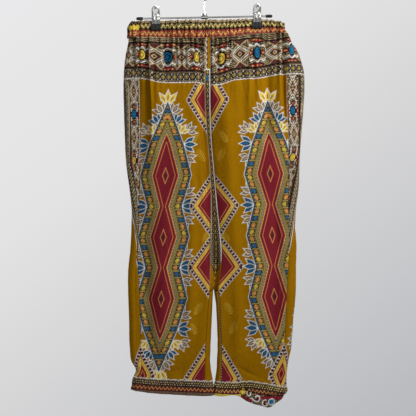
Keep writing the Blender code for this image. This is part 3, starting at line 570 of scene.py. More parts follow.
def pleat_profile(away, spread):
    """A pleat's cross section: a puff that laps over a furrow, from which the cloth rises slowly."""
    furrow = np.where(away < 0, bell(away, 0.75 * spread), np.exp(-np.clip(away, 0, 1) / (3.0 * spread)))
    return 0.8 * bell(away + 2.3 * spread, 1.5 * spread) - 1.5 * furrow


def pleat_height(pleats, across, width, drop, sign):
    """Height of the deep pleats, which fade downwards."""
    return sum(depth * pleat_profile(away, spread)
               for away, spread, depth, _ in pleat_shape(pleats, across, width, drop, sign))


def pleat_take_up(pleats, across, width, drop, sign):
    """How far the print jumps towards +X at each pleat, where cloth is hidden in its fold."""
    total = 0.0
    for away, spread, depth, turn in pleat_shape(pleats, across, width, drop, sign):
        jump = smooth_step(-spread, spread, away) - np.clip(0.5 + away / 0.036, 0, 1)
        total = total + 2.0 * np.abs(depth) * jump * turn
    return total


def crease_height(creases, across, width, drop):
    """Height of the slanting creases, each strongest in its middle."""
    total = 0.0
    for crease in creases:
        along, aside = turned_by((across - crease.across) * width, drop - crease.drop, crease.lean)
        bend = 0.25 * along * along / crease.length
        nearness = bell(along, crease.length / 2) * bell(aside - bend, crease.half_width)
        total = total + crease.height * nearness
    return total


def direction(side, face):
    """1 where a piece runs towards +X from its start, -1 where it runs towards -X."""
    return SIDES[side] if face == "front" else -SIDES[side]


def valley_height(drop, from_right_seam, face):
    """The hollow round the gusset, which hangs back: steep on the right leg, slow towards the left."""
    reach = smooth_step(0.12, 0.23, drop) * (1 - smooth_step(0.61, 0.688, drop))
    if face == "back":
        return -VALLEY_DEPTH[face] * reach * bell(from_right_seam, VALLEY_SLOW[face])
    away = -from_right_seam - np.interp(drop, (0.24, 0.4, 0.62), (0.01, 0.012, 0.0))
    shape = np.where(away > 0, bell(away, VALLEY_STEEP), bell(away, VALLEY_SLOW[face]))
    return -VALLEY_DEPTH[face] * reach * shape


def side_fall(x, ny, drop):
    """How far the wearer's right side falls back from the front, most of all below the waist bands."""
    reach = smooth_step(0.11, 0.18, drop) * (1 - 0.25 * smooth_step(0.66, 0.78, drop))
    reach = reach * (1 - smooth_step(0.8, 0.9, drop))
    stop = 0.18 + 0.012 * smooth_step(0.32, 0.48, drop)
    return -SIDE_FALL * reach * smooth_step(0.128, stop, -x) * np.clip(-ny, 0, 1)


def panel_relief(side, face, across, width, drop, x, strength):
    """Height of the whole relief of one leg panel over its plain section."""
    shift = 1 + 2 * (side == "left") + (face == "back")
    held = pinch(x, drop)
    folds = FOLD_EXTRA * fold_height(FOLDS[side, face], across, width, drop)
    total = gather_height(across, drop, shift) + folds
    total = (total + fine_gather_height(across, width, drop, shift)) * (1 - PINCH_FLATTENS * held)
    extra = pleat_height(PLEATS[side, face], across, width, drop, direction(side, face)) * (1 - 0.3 * held)
    extra = extra + crease_height(CREASES[side, face], across, width, drop)
    crumpled = 0.25 + 0.75 * np.exp(-((drop - PANEL_TOP) / 0.11) ** 2)
    extra = extra + 0.0008 * soft_waves(across * width, drop, 0.055, 0.3, 10 * shift)
    extra = extra + 0.0007 * crumpled * soft_waves(across * width, drop, 0.015, 0.06, 10 * shift + 5)
    extra = extra + 0.0004 * crumpled * soft_waves(drop, across * width, 0.021, 0.034, 10 * shift + 8)
    belly = 0.0075 * held * smooth_step(0.045, 0.07, drop)
    room = half_depth(x, drop) - 0.002
    return np.maximum((total + strength * (extra + belly)) * fade_at_ends(across, 0.03), -room)


# ---- Printing: covers, motifs and bands --------------------------

EDGE_BLUR = 0.0007            # width over which one dye meets the next
ZIGZAG_PITCH = 0.0112
SLANT = 0.72                  # turns a distance up a slanting line into one square to it

# One row per place across the front: drops of the band's two dark lines and of its white lower edge.
BandLines = namedtuple("BandLines", "x upper lower white")
BAND_LINES = table(
    BandLines,
    (-0.220, 0.0552, 0.1195, 0.1455),
    (-0.150, 0.0552, 0.1199, 0.1475),
    (-0.126, 0.0560, 0.1272, 0.1550),
    (-0.066, 0.0590, 0.1295, 0.1592),
    (-0.014, 0.0615, 0.1310, 0.1605),
    (0.020, 0.0672, 0.1405, 0.1672),
    (0.045, 0.0615, 0.1360, 0.1640),
    (0.070, 0.0545, 0.1282, 0.1560),
    (0.094, 0.0525, 0.1252, 0.1532),
    (0.143, 0.0496, 0.1230, 0.1505),
    (0.157, 0.0556, 0.1200, 0.1475),
    (0.204, 0.0512, 0.1143, 0.1425),
    (0.260, 0.0505, 0.1130, 0.1440),
)
BAND_HALF = 0.0325            # half the height that the band's motifs are drawn at
BAND_PITCH = {"right": 0.069, "left": 0.088}
BAND_MIDDLE = {"right": -0.093, "left": 0.133}     # a blue oval's place on each front
OVALS = {"right": ("blue", "yellow"), "left": ("blue", "blue", "yellow")}

# The large figure of each leg: a chain of stretched lozenges in a beaded frame.
CHAIN_START, CHAIN_PITCH, CHAIN_LINKS = 0.318, 0.156, 3
CHAIN_END = CHAIN_START + CHAIN_PITCH * CHAIN_LINKS
CORE_NOTCH, CORE_WIDE = 0.01, 0.032
POINT_SLOPE = 0.4             # how fast the figure narrows to its two points
FRAME_WIDTH = 0.0355
LEAF_HEARTS = {"navy": "blue", "brown": "tan", "yellow": "brown"}

# Place of the figure's middle line on each front and back: x at two drops.
Axis = namedtuple("Axis", "drop right left")
AXES = table(Axis, (0.15, -0.0935, 0.156), (0.905, -0.1336, 0.1675))

# Half figures on the inner and the side seams: drop of the middle, half length and reach.
HalfFigure = namedtuple("HalfFigure", "drop half_length reach")
HALF_FIGURES = table(HalfFigure, (0.205, 0.078, 0.044), (0.474, 0.074, 0.052),
                     (0.63, 0.074, 0.054), (0.915, 0.085, 0.05))
SIDE_FIGURE = HalfFigure(0.905, 0.07, 0.028)

# Small feathers between the figures: drop, distance from the inner seam and lean in degrees.
Feather = namedtuple("Feather", "drop reach lean")
FEATHERS = table(Feather, (0.3, 0.03, 30), (0.345, 0.02, -30), (0.552, 0.01, 30),
                 (0.735, 0.024, 30), (0.785, 0.034, -30))

# The border that runs down each side: its width, and the drops between which it runs out over the seam.
BORDER_WIDTH = 0.055
BORDER_TAPER = {"right": (0.36, 0.63), "left": (0.33, 0.6)}


class Printed:
    """Colours on a grid of cloth points, printed one motif over another."""

    def __init__(self, shape, dyes):
        self.dyes = {key: np.array(value) for key, value in dyes.items()}
        self.colour = np.empty((*shape, 3))
        self.colour[...] = self.dyes["ground"]

    def lay(self, cover, dye_name):
        """Print one dye where cover is 1."""
        self.colour += cover[..., None] * (self.dyes[dye_name] - self.colour)

    def fill(self, distance, area=1.0, **dyes):
        """Print dyes one inside the other; each value is how far inside the outline its dye starts."""
        for dye_name, inset in dyes.items():
            self.lay(within(distance + inset) * area, dye_name)

    def line(self, distance, half_width, dye_name, area=1.0):
        """Print a line where the distance is zero."""
        self.lay(stripe(distance, half_width) * area, dye_name)

    def copy(self):
        """A second print with the same colours so far."""
        second = Printed(self.colour.shape[:2], self.dyes)
        second.colour[...] = self.colour
        return second

    def cover_with(self, other, area):
        """Lay another print's colours over this one where area is 1."""
        self.colour += area[..., None] * (other.colour - self.colour)


def within(distance):
    """Cover of the points whose signed distance is below zero."""
    return np.clip(0.5 - distance / EDGE_BLUR, 0.0, 1.0)


def stripe(distance, half_width):
    """Cover of a line."""
    return within(np.abs(distance) - half_width)


def span(value, low, high):
    """Cover of the stretch from low to high."""
    return within(low - value) * within(value - high)


def ellipse(x, y, half_x, half_y):
    """Signed distance from an ellipse."""
    return (np.hypot(x / half_x, y / half_y) - 1) * min(half_x, half_y)


def lozenge(x, y, half_x, half_y):
    """Signed distance from a lozenge."""
    return (np.abs(x) / half_x + np.abs(y) / half_y - 1) * half_x * half_y / math.hypot(half_x, half_y)


def repeat(value, pitch):
    """Value measured from the middle of its own repeat, and the number of that repeat."""
    number = np.floor(value / pitch + 0.5)
    return value - number * pitch, number


def wave(value, pitch):
    """Triangle wave from -1 to 1."""
    return 4 * np.abs((value / pitch) % 1 - 0.5) - 1


def print_zigzag(cloth, along, height, top, bottom, figure, ground):
    """A bold zigzag between two thin ones, on a plain ground."""
    middle, half = (top + bottom) / 2, (bottom - top) / 2
    cloth.lay(span(height, top, bottom), ground)
    room = span(height, top + 0.0006, bottom - 0.0006)
    tooth = (height - middle - 0.5 * half * wave(along, ZIGZAG_PITCH)) * 0.56
    cloth.line(np.abs(tooth) - 0.34 * half, 0.0002, figure, room)
    cloth.line(tooth, 0.0009, figure, room)


def print_twist(cloth, along, away, half_width=0.0019):
    """A near-black line twisted from slanting strands, with a fine brown line on each side."""
    cloth.line(away, half_width + 0.001, "brown")
    cloth.line(away - 0.0005 * wave(along, 0.006), half_width, "ink")


def print_beads(cloth, along, height, top, bottom, pitch):
    """A row of ringed beads, with pairs of small dots between them."""
    middle, half = (top + bottom) / 2, (bottom - top) / 2
    inside = span(height, top, bottom)
    cloth.lay(inside, "umber")
    bead, _ = repeat(along, pitch)
    gap, _ = repeat(along + pitch / 2, pitch)
    up = height - middle
    cloth.fill(lozenge(bead, up, 0.38 * pitch, 0.6 * half), inside, tan=0, ink=0.0006)
    cloth.fill(lozenge(bead, up, 0.13 * pitch, 0.26 * half), inside, yellow=0)
    cloth.fill(ellipse(gap, np.abs(up) - 0.55 * half, 0.0009, 0.0013), inside, cream=0)
    cloth.line(np.abs(up) - half + 0.0012, 0.0003, "tan", inside)


def print_lozenges(cloth, along, height, half, pitch, colours):
    """The wide band of the waist: lozenges between ovals, under white chevrons and red fans."""
    cell, number = repeat(along, pitch)
    far = pitch / 2 - np.abs(cell)             # distance from the lozenge between two ovals
    up = np.abs(height)
    inside = within(up - half)
    cloth.lay(inside, "umber")
    across, down = far - 0.5 * height, height + 0.5 * far
    print_seeds(cloth, across, down, (0.0047, 0.0047), 0.0024, (0.0017, 0.0018), inside)
    print_chevrons(cloth, up, far, inside)
    cloth.fill(lozenge(far, height, 0.005, 0.0058), inside, tan=0)
    cloth.fill(lozenge(far, height, 0.0028, 0.0034), inside, ink=0)
    cap = (up - 0.0165 - 0.95 * far) * SLANT
    cloth.fill(-cap, inside, maroon=0)
    cloth.line(cap, 0.0009, "tan", inside)
    print_oval_frame(cloth, cell, up, half, inside)
    cloth.fill(lozenge(np.abs(cell) - 0.013, height, 0.0048, 0.0054), inside,
               ink=-0.001, crimson=0, orange=0.002)
    oval = ellipse(cell, height, 0.0062, 0.0118)
    cloth.fill(oval, inside, ink=-0.002)
    for parity, colour in enumerate(colours):
        cloth.lay(within(oval) * inside * (number % len(colours) == parity), colour)
    cloth.line(oval + 0.0028, 0.0005, "ink", inside)


def print_seeds(cloth, across, down, pitch, shift, size, area):
    """Small tan lozenges in rows, every other row shifted; pitch and size are (across, down)."""
    grain, row = repeat(down, pitch[1])
    seed, _ = repeat(across + shift * (row % 2), pitch[0])
    cloth.fill(lozenge(seed, grain, *size), area, tan=0)


def print_chevrons(cloth, up, far, inside):
    """Nested slanting lines round a lozenge with a maroon heart."""
    slant = up + 0.95 * far
    cloth.fill((slant - 0.0125) * SLANT, inside, maroon=0)
    for reach, colour, wide in ((0.013, "tan", 0.0009), (0.0185, "cream", 0.001),
                                (0.0245, "tan", 0.0009), (0.031, "brown", 0.0012)):
        cloth.line((slant - reach) * SLANT, wide + 0.0009, "umber", inside)
        cloth.line((slant - reach) * SLANT, wide, colour, inside)


def print_oval_frame(cloth, cell, up, half, inside):
    """What frames an oval above and below: a curved line, a white zigzag and a red fan with seeds."""
    lens = np.abs(cell) / 0.019
    near_oval = inside * within(np.abs(cell) - 0.0225)
    cloth.line(up - 0.0108 - 0.005 * lens, 0.0007, "tan", near_oval)
    zig = up - 0.0182 - 0.0034 * wave(cell, 0.015) + 0.004 * lens * lens
    cloth.line(zig, 0.0026, "ink", near_oval)
    cloth.line(zig, 0.0015, "cream", near_oval)
    fan = ellipse(cell, up - half, 0.0175, 0.0098)
    cloth.fill(fan, inside, crimson=0)
    cloth.line(fan, 0.0008, "ink", inside)
    seeds, _ = repeat(cell, 0.009)
    cloth.fill(ellipse(seeds, up - half + 0.0042, 0.002, 0.0015), inside * within(fan), orange=0)


def print_waist_bands(cloth, side, along, x, drop):
    """The bands across the seat, from the casing's seam to the white scalloped edge."""
    upper, lower, white = (read_table(BAND_LINES, line, x) for line in ("upper", "lower", "white"))
    cloth.fill(drop - white, umber=0)
    rows, _ = repeat(drop - upper, 0.0046)
    cloth.line(rows, 0.0005, "tan", within(drop - upper + 0.002))
    middle, half = (upper + lower) / 2, (lower - upper) / 2
    height = (drop - middle) / half * BAND_HALF
    print_lozenges(cloth, along, height, BAND_HALF, BAND_PITCH[side], OVALS[side])
    print_twist(cloth, along, drop - upper)
    print_beads(cloth, along, (drop - lower) / (white - lower) * 0.02, 0.003, 0.0185, 0.015)
    print_twist(cloth, along, drop - lower)
    scallop = white + 0.0022 * wave(along, 0.016) ** 2
    cloth.line(drop - scallop, 0.0012, "cream")


def chain_core(drop):
    """Half width of the figure's crimson heart; below zero beyond its two points."""
    within_chain = np.clip(drop, CHAIN_START, CHAIN_END)
    link = ((within_chain - CHAIN_START) / CHAIN_PITCH) % 1
    swell = 1 - np.abs(link - 0.5) * 2
    beyond = np.abs(drop - within_chain)
    return CORE_NOTCH + (CORE_WIDE - CORE_NOTCH) * swell * (beyond == 0) - POINT_SLOPE * beyond


def print_sprig(cloth, across, down, angle, leaf, size=1.0):
    """Three white-edged leaves that fan out from one point; the angle is from upright."""
    for turn in (-38, 38, 0):
        back, aside = turned_by(across, down, -angle - turn)
        rise = 0.0125 * size + back
        shape = lozenge(aside, rise, 0.0052 * size, 0.0118 * size) * 0.7
        shape = np.minimum(shape, ellipse(aside, rise - 0.001 * size, 0.0044 * size, 0.0092 * size))
        cloth.fill(shape, cream=-0.0012)
        cloth.lay(within(shape), leaf)
        heart = ellipse(aside, rise - 0.001 * size, 0.001 * size, 0.0055 * size)
        cloth.lay(within(heart), LEAF_HEARTS[leaf])


def print_column(cloth, across, drop):
    """The large figure: a crimson chain inside a beaded and jewelled frame, pointed at both ends."""
    away = np.abs(across) - chain_core(drop)
    for sign in (-1, 1):
        print_sprigs(cloth, sign * across, drop)
    print_chain_frame(cloth, away, drop)
    cloth.fill(away, orange=-0.0026, crimson=-0.0006)
    cloth.line(away + 0.007, 0.0006, "orange")
    pip, _ = repeat(drop - CHAIN_START - CHAIN_PITCH / 2, CHAIN_PITCH)
    gem = lozenge(across, pip, 0.0075, 0.02)
    cloth.line(gem, 0.0007, "orange", within(away + 0.008))
    cloth.fill(gem, within(away + 0.008), maroon=0.003)


def print_sprigs(cloth, across, drop):
    """Leaves outside the frame on one side: at each notch, and along the two pointed ends."""
    reach = CORE_NOTCH + FRAME_WIDTH
    for link in range(CHAIN_LINKS + 1):
        level = drop - CHAIN_START - link * CHAIN_PITCH
        print_sprig(cloth, across - reach - 0.006, level - 0.033, 118, "brown")
        print_sprig(cloth, across - reach - 0.006, level + 0.033, 62, "brown")
        print_sprig(cloth, across - reach, level, 90, "navy", 1.25)
    for end, way, upright in ((CHAIN_START, -1, 35), (CHAIN_END, 1, 145)):
        for step, leaf in enumerate(("yellow", "navy", "brown")):
            rise = 0.03 + 0.026 * step
            print_sprig(cloth, across - reach + POINT_SLOPE * rise, drop - end - way * rise, upright, leaf)
        tip = end + way * reach / POINT_SLOPE
        print_sprig(cloth, across, drop - tip + way * 0.01, 90 + way * 90, "yellow", 1.4)


def print_chain_frame(cloth, away, drop):
    """The frame round the crimson chain, from its white edge in to its beads."""
    cloth.fill(away - FRAME_WIDTH, cream=0, ink=0.0014)
    dash, _ = repeat(drop, 0.0066)
    cloth.line(dash, 0.002, "blue", span(away, FRAME_WIDTH - 0.0046, FRAME_WIDTH - 0.002))
    from_jewels = away - FRAME_WIDTH + 0.0128
    jewel, number = repeat(drop - CHAIN_START, 0.0173)
    box = within(np.abs(from_jewels) - 0.0074)
    cloth.lay(box, "olive")
    cloth.fill(np.maximum(np.abs(from_jewels), np.abs(jewel)) - 0.0068, box, umber=0)
    gem = ellipse(from_jewels, jewel, 0.005, 0.0056)
    for parity, colour in enumerate(("orange", "yellow", "orange", "blue")):
        cloth.lay(within(gem) * (number % 4 == parity), colour)
    cloth.line(gem + 0.0024, 0.0004, "maroon", within(gem))
    cloth.fill(away, ink=-0.0152, olive=-0.0144)
    rows, row = repeat(away - 0.0092, 0.0038)
    bead, _ = repeat(drop + 0.0022 * row, 0.0045)
    cloth.fill(ellipse(rows, bead, 0.0011, 0.0012), span(away, 0.0065, 0.0142), ink=0)
    dots, _ = repeat(drop, 0.0078)
    cloth.fill(ellipse(away - 0.0048, dots, 0.0016, 0.0027), ink=0)
    cloth.fill(ellipse(away - 0.0048, dots, 0.0011, 0.0022), blue=0)


def print_half_figure(cloth, figure, inward, drop):
    """Half of a lozenge on a seam: a crimson heart in gold lines, under a string of maroon beads."""
    down = np.abs(drop - figure.drop)
    size = math.hypot(figure.reach, figure.half_length)
    scale = figure.reach * figure.half_length / size
    away = (inward / figure.reach + down / figure.half_length - 1) * scale
    along = (down * figure.half_length - inward * figure.reach) / size
    bead, _ = repeat(along, 0.009)
    pearl = ellipse(bead, away + 0.001, 0.0049, 0.0052)
    cloth.fill(pearl, cream=0)
    cloth.fill(away, umber=0.005)
    cloth.fill(pearl, maroon=0.0011)
    cloth.fill(ellipse(bead, away + 0.0012, 0.0011, 0.0013), umber=0)
    cloth.fill(away, orange=0.0066, yellow=0.008)
    cloth.line(away + 0.0108 + 0.0012 * wave(along, 0.0095), 0.0006, "brown")
    cloth.fill(away, orange=0.0136, crimson=0.0148)
    cloth.line(away + 0.02, 0.0006, "orange")


def print_feathers(cloth, inward, drop):
    """Small pale feathers on the mustard between the figures."""
    for feather in FEATHERS:
        along, aside = turned_by(inward - feather.reach, drop - feather.drop, feather.lean)
        barb, _ = repeat(along + 0.7 * np.abs(aside), 0.0052)
        cloth.line(barb, 0.0006, "yellow", 0.8 * within(ellipse(aside, along, 0.0085, 0.0165)))


def print_side_border(cloth, side, from_seam, drop):
    """Lozenge border down the side, between a white line and a beaded outer edge."""
    start, stop = BORDER_TAPER[side]
    place = from_seam + BORDER_WIDTH * np.clip((drop - start) / (stop - start), 0, 1)
    area = span(place, 0.0, BORDER_WIDTH) * within(drop - stop)
    border = cloth.copy()
    border.lay(area, "umber")
    print_lozenges(border, drop / 1.5, (place - 0.015) * 2.0, 0.029, 0.079, ("blue", "yellow"))
    border.lay(span(place, 0.029, BORDER_WIDTH), "umber")
    print_beads(border, drop, place, 0.0355, 0.046, 0.009)
    rows, _ = repeat(place, 0.0045)
    border.line(rows, 0.0007, "tan", span(place, 0.047, BORDER_WIDTH))
    print_twist(border, drop, place - 0.032, 0.0018)
    border.line(place - 0.0006, 0.001, "cream")
    border.line(place - BORDER_WIDTH + 0.0006, 0.001, "cream")
    cloth.cover_with(border, area)


def print_inseam(cloth, from_seam, drop):
    """The dark dotted line down the inseam."""
    from_line = from_seam - 0.0014
    seam_line = stripe(from_line, 0.0016) * within(CROTCH_DROP - drop)
    cloth.lay(seam_line, "umber")
    dots, _ = repeat(drop, 0.007)
    cloth.fill(ellipse(from_line, dots, 0.0009, 0.0018), seam_line, tan=0)


def print_gusset(cloth, aside, half, drop):
    """Mustard with a scalloped bead line at the top, and a dark dotted border strip below."""
    above = within(drop - GUSSET_BORDER_DROP)
    cloth.line(aside + 0.0035 + 0.0016 * wave(drop, 0.015), 0.0012, "cream", above)
    bead, _ = repeat(drop + 0.0037, 0.015)
    cloth.fill(ellipse(aside + 0.001, bead, 0.0022, 0.0032), above, maroon=0)
    edge = half * (1.02 - smooth_step(0.6, 0.668, drop))
    below = within(GUSSET_BORDER_DROP - drop) * within(np.abs(aside) - edge)
    cloth.lay(below, "umber")
    print_seeds(cloth, aside, drop, (0.0054, 0.005), 0.0027, (0.0015, 0.0017), below)
    jewel, _ = repeat(drop, 0.015)
    cloth.fill(lozenge(aside, jewel, 0.0034, 0.0052), below, maroon=0)
    cloth.fill(lozenge(aside, jewel, 0.0018, 0.003), below, yellow=0)
    cloth.line(half - aside - 0.0016, 0.0009, "cream", below)
    cloth.line(half + aside - 0.0014, 0.0006, "tan", below)
    cloth.line(drop - GUSSET_BORDER_DROP, 0.0012, "cream")
    cloth.fill(ellipse(aside, drop - 0.15, 0.0035, 0.006), blue=0)


def print_casing(cloth, along, down):
    """A rolled brown edge over two rows of zigzag."""
    cloth.lay(np.ones(down.shape), "brown")
    rows, _ = repeat(down - 0.001, 0.003)
    cloth.line(rows, 0.0006, "tan")
    print_zigzag(cloth, along, down, 0.0055, 0.0215, "straw", "ink")
    print_zigzag(cloth, along + 0.004, down, 0.0225, 0.04, "amber", "crimson")
    cloth.line(down - 0.022, 0.0007, "ink")


def print_casing_corner(cloth, from_end, down):
    """The wearer's right end of the casing, where the print shows a yellow figure under brown curls."""
    edge = 0.03 + 0.0022 * np.sin(2 * math.pi * down / 0.017)
    corner = within(from_end - edge)
    cloth.fill(down - 0.0225, corner, umber=0)
    curl, _ = repeat(from_end - 0.004, 0.0095)
    cloth.line(ellipse(curl, down - 0.005, 0.0034, 0.004), 0.0009, "brown", corner)
    cloth.fill(ellipse(curl, down - 0.0165, 0.0052, 0.0068), corner, yellow=0)


# Colours of each hem band's seeds, zigzag and rolled edge.
HEM_COLOURS = {"right": ("tan", "orange", "brown"), "left": ("straw", "amber", "yellow")}

# The curls on the drooping corner: place of the middle, x and drop, size and where each starts to turn.
Curl = namedtuple("Curl", "x drop size start")
CURLS = table(Curl, (0.096, 0.953, 0.009, 0.1), (0.115, 0.964, 0.01, 0.55),
              (0.136, 0.979, 0.0095, 0.2), (0.099, 0.969, 0.006, 0.8))


def print_hem_band(cloth, along, down, seeds, zigzag, edge):
    """Woven-looking rows, a thin dark line, a zigzag on crimson and a rolled edge."""
    cloth.lay(np.ones(down.shape), "umber")
    rows, row = repeat(down, 0.0052)
    seed, number = repeat(along + 0.003 * (row % 2) + 0.0008 * np.sin(along * 310), 0.0056)
    cloth.fill(lozenge(seed, rows, 0.0022, 0.0024), brown=0)
    cloth.lay(within(lozenge(seed, rows, 0.0018, 0.0022) + 0.0006 * uneven(number + row)), seeds)
    cloth.line(down - 0.0132, 0.0009, "ink")
    cloth.lay(span(down, 0.0145, 0.0265), "maroon")
    tooth = (down - 0.0205 - 0.0034 * wave(along, 0.0096)) * 0.6
    room = span(down, 0.0145, 0.0262)
    cloth.line(tooth, 0.0007, zigzag, room)
    cloth.line(tooth - 0.0028, 0.0006, "crimson", room)
    cloth.lay(within(0.027 - down), edge)
    cloth.line(down - 0.027, 0.0008, "umber")


def print_drooping_corner(cloth, x, fall, crease, reach):
    """The turned corner below the crease: white curls on brown, a crimson edge and a blue dot."""
    turned = 1.0 * (reach > 0.05)
    under = within(-crease) * turned
    cloth.lay(under, "umber")
    print_seeds(cloth, x, fall, (0.0044, 0.004), 0.002, (0.0014, 0.0014), under)
    for curl in CURLS:
        across, down = x - curl.x, fall - curl.drop
        turn = (np.arctan2(down, across) / (2 * math.pi) + curl.start) % 1
        spiral = np.hypot(across, down) - curl.size * (0.25 + 0.75 * turn)
        cloth.fill(spiral, under, maroon=0)
        cloth.line(spiral, 0.0013, "cream", under)
    cloth.line(crease - 0.006, 0.0034, "crimson", under * within(0.124 - x))
    cloth.line(fall + 0.42 * (0.1 - x) - 0.97, 0.0036, "crimson", turned * within(x - 0.104))
    cloth.fill(ellipse(x - 0.08, fall - 0.948, 0.0068, 0.0078), turned, umber=-0.0024, yellow=0)
    cloth.fill(ellipse(x - 0.1515, fall - 0.9745, 0.0066, 0.0066), turned, cream=-0.002, blue=0)
    cloth.line(crease, 0.0013, "ink", turned)


def print_hem_edge(cloth, along, from_band):
    """White wavy line just above the hem band."""
    cloth.line(from_band + 0.0022 + 0.0009 * wave(along, 0.019), 0.0013, "cream")


# ---- Meshes ------------------------------------------------------

class Cloth:
    """Grids of points sewn into one mesh, with the print's colours and the cloth's own coordinates."""

    def __init__(self):
        self.points, self.colours, self.faces, self.woven, self.charted = [], [], [], [], []
        self.count = 0

    def add(self, points, colours):
        """Add a grid of points with their colours and return their numbers."""
        rows, columns = points.shape[:2]
        numbers = self.count + np.arange(rows * columns).reshape(rows, columns)
        self.points.append(points.reshape(-1, 3))
        self.colours.append(colours.reshape(-1, 3))
        self.count += rows * columns
        return numbers

    def weave(self, numbers, woven, turned, chart=(0.0, 1.0)):
        """Faces over a grid of numbers; woven is each point's place on the flat cloth, in metres.

        The chart is the grid's share, from left to right, of the map that the piece is baked on.
        """
        rows, columns = numbers.shape
        charted = np.stack(np.meshgrid(np.linspace(*chart, columns), np.linspace(0, 1, rows)), axis=-1)
        for kept, grid in ((self.faces, numbers[..., None]), (self.woven, woven), (self.charted, charted)):
            corners = np.stack([grid[:-1, :-1], grid[1:, :-1], grid[1:, 1:], grid[:-1, 1:]], axis=2)
            kept.append((corners[:, :, ::-1] if turned else corners).reshape(-1, grid.shape[2]))
        self.faces[-1] = self.faces[-1].reshape(-1, 4)

    def cap(self, numbers, turned):
        """Close the open end of a folded strip, whose numbers run round it, by a strip across its wall."""
        quads = np.array([(numbers[k], numbers[k + 1], numbers[-2 - k], numbers[-1 - k])
                          for k in range(len(numbers) // 2 - 1)])
        self.faces.append(quads[:, ::-1] if turned else quads)
        for places in (self.woven, self.charted):
            places.append(np.zeros((4 * len(quads), 2)))

    def finish(self, name, finish, node, slot):
        """Make the mesh and its piece; the map OFBake lays the whole piece out flat for baking."""
        mesh = bpy.data.meshes.new(name)
        mesh.from_pydata(np.concatenate(self.points), [], np.concatenate(self.faces))
        for layer, places in (("woven", self.woven), ("OFBake", self.charted)):
            uv = mesh.uv_layers.new(name=layer)
            uv.uv.foreach_set("vector", np.concatenate(places).astype(np.float32).ravel())
        colours = np.concatenate(self.colours)
        printed = mesh.color_attributes.new("printed", "FLOAT_COLOR", "POINT")
        rgba = np.concatenate([colours, np.ones((len(colours), 1))], axis=1)
        printed.data.foreach_set("color", rgba.astype(np.float32).ravel())
        return place_piece(name, mesh, finish, node)


def place_piece(name, mesh, finish, node):
    """Make a mesh a piece of the object: it rides on the part and stands for its node."""
    mesh.materials.append(finish)
    mesh.validate()
    mesh.shade_smooth()
    piece = bpy.data.objects.new(name, mesh)
    bpy.context.scene.collection.objects.link(piece)
    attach(piece, "root")
    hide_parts(node)
    return piece


def with_turned_edges(values):
    """Repeat the first and last value, for the rows and columns that turn in at the seams."""
    return np.concatenate([values[:1], values, values[-1:]])


def seam_groove(distance):
    """How far the cloth sinks beside a seam."""
    return -GROOVE_DEPTH * bell(distance, GROOVE_HALF_WIDTH)


def leg_panel(side, face, dyes, strength, finish):
    """The front or the back of one leg with its half of the seat, from the casing to the hem band."""
    in_front = face == "front"
    columns, rows = FRONT_GRID if in_front else BACK_GRID
    shares = with_turned_edges(np.linspace(0, 1, columns))
    drops = with_turned_edges(np.linspace(PANEL_TOP, PANEL_BOTTOM, rows))
    sections = [Section(side, drop) for drop in drops]
    starts = np.array([0.0 if in_front else s.side_seam for s in sections])[:, None]
    stops = np.array([s.side_seam if in_front else s.back_seam for s in sections])[:, None]
    width = stops - starts
    run = starts + SEAM_GAP / 2 + (width - SEAM_GAP) * shares
    x, y, nx, ny = np.stack([s.along(r) for s, r in zip(sections, run)], axis=1)
    drop = np.broadcast_to(drops[:, None], x.shape)
    across = np.broadcast_to(shares, x.shape)
    from_start, from_stop = run - starts, stops - run
    from_inseam, from_side = (from_start, from_stop) if in_front else (from_stop, from_start)

    height = panel_relief(side, face, across, width, drop, x, strength)
    open_back = 1.0 if in_front else 1 - smooth_step(CROTCH_DROP - 0.006, CROTCH_DROP, drop)
    height = height + seam_groove(from_start) + seam_groove(from_stop) * open_back
    across_gusset = read_table(SEAMS, "left_edge", drop) - read_table(SEAMS, "right_edge", drop)
    from_right_seam = -from_inseam if side == "right" else from_inseam + across_gusset
    height = height + valley_height(drop, from_right_seam, face) + side_fall(x, ny, drop)
    height = height + seam_groove(PANEL_BOTTOM - drop)
    height[:, 0] -= SEAM_TURN
    height[:, -1] -= SEAM_TURN * (open_back if in_front else open_back[:, -1])
    height[[0, -1]] -= SEAM_TURN
    fall = true_drop(drop, x)
    fall[0] -= SEAM_TURN
    fall[-1] += SEAM_TURN
    points = np.stack([x + nx * height, y + ny * height, WAIST_Z - fall], axis=-1)

    printed = Printed(x.shape, dyes)
    sign = SIDES[side]
    from_axis = from_inseam - sign * (read_axis(side, drop) - read_table(SEAMS, side + "_edge", drop))
    print_feathers(printed, from_inseam, drop)
    print_column(printed, from_axis, fall)
    for figure in HALF_FIGURES:
        print_half_figure(printed, figure, from_inseam, fall)
    print_half_figure(printed, SIDE_FIGURE, from_side, fall)
    if in_front:
        band_place = x - BAND_MIDDLE[side]
    else:
        print_side_border(printed, side, from_side, fall)
        seam_x = read_table(SEAMS, side + "_seam", drop)
        band_place = sign * from_side + seam_x - BAND_MIDDLE[side]
    print_hem_edge(printed, from_start, fall - read_table(HEM, "band_top", x))
    if (side, face) == ("left", "front"):
        print_inseam(printed, from_inseam, fall)
    shifted = pleat_take_up(PLEATS[side, face], across, width, drop, direction(side, face))
    band = Printed(x.shape, dyes)
    print_waist_bands(band, side, band_place + shifted, x, fall)
    printed.cover_with(band, within(fall - read_table(BAND_LINES, "white", x) - 0.002))

    cloth = Cloth()
    numbers = cloth.add(points, printed.colour)
    chart = (0.0, 1.0) if in_front else (0.0, 0.86)
    cloth.weave(numbers, np.stack([from_start, fall], axis=-1), side == "left", chart)
    if not in_front:
        inside_of_leg(cloth, side, sections, drops, numbers, dyes)
    return cloth.finish(f"{side}_leg_{face}_cloth", finish, f"{side}_leg_{face}", "leg_cloth")


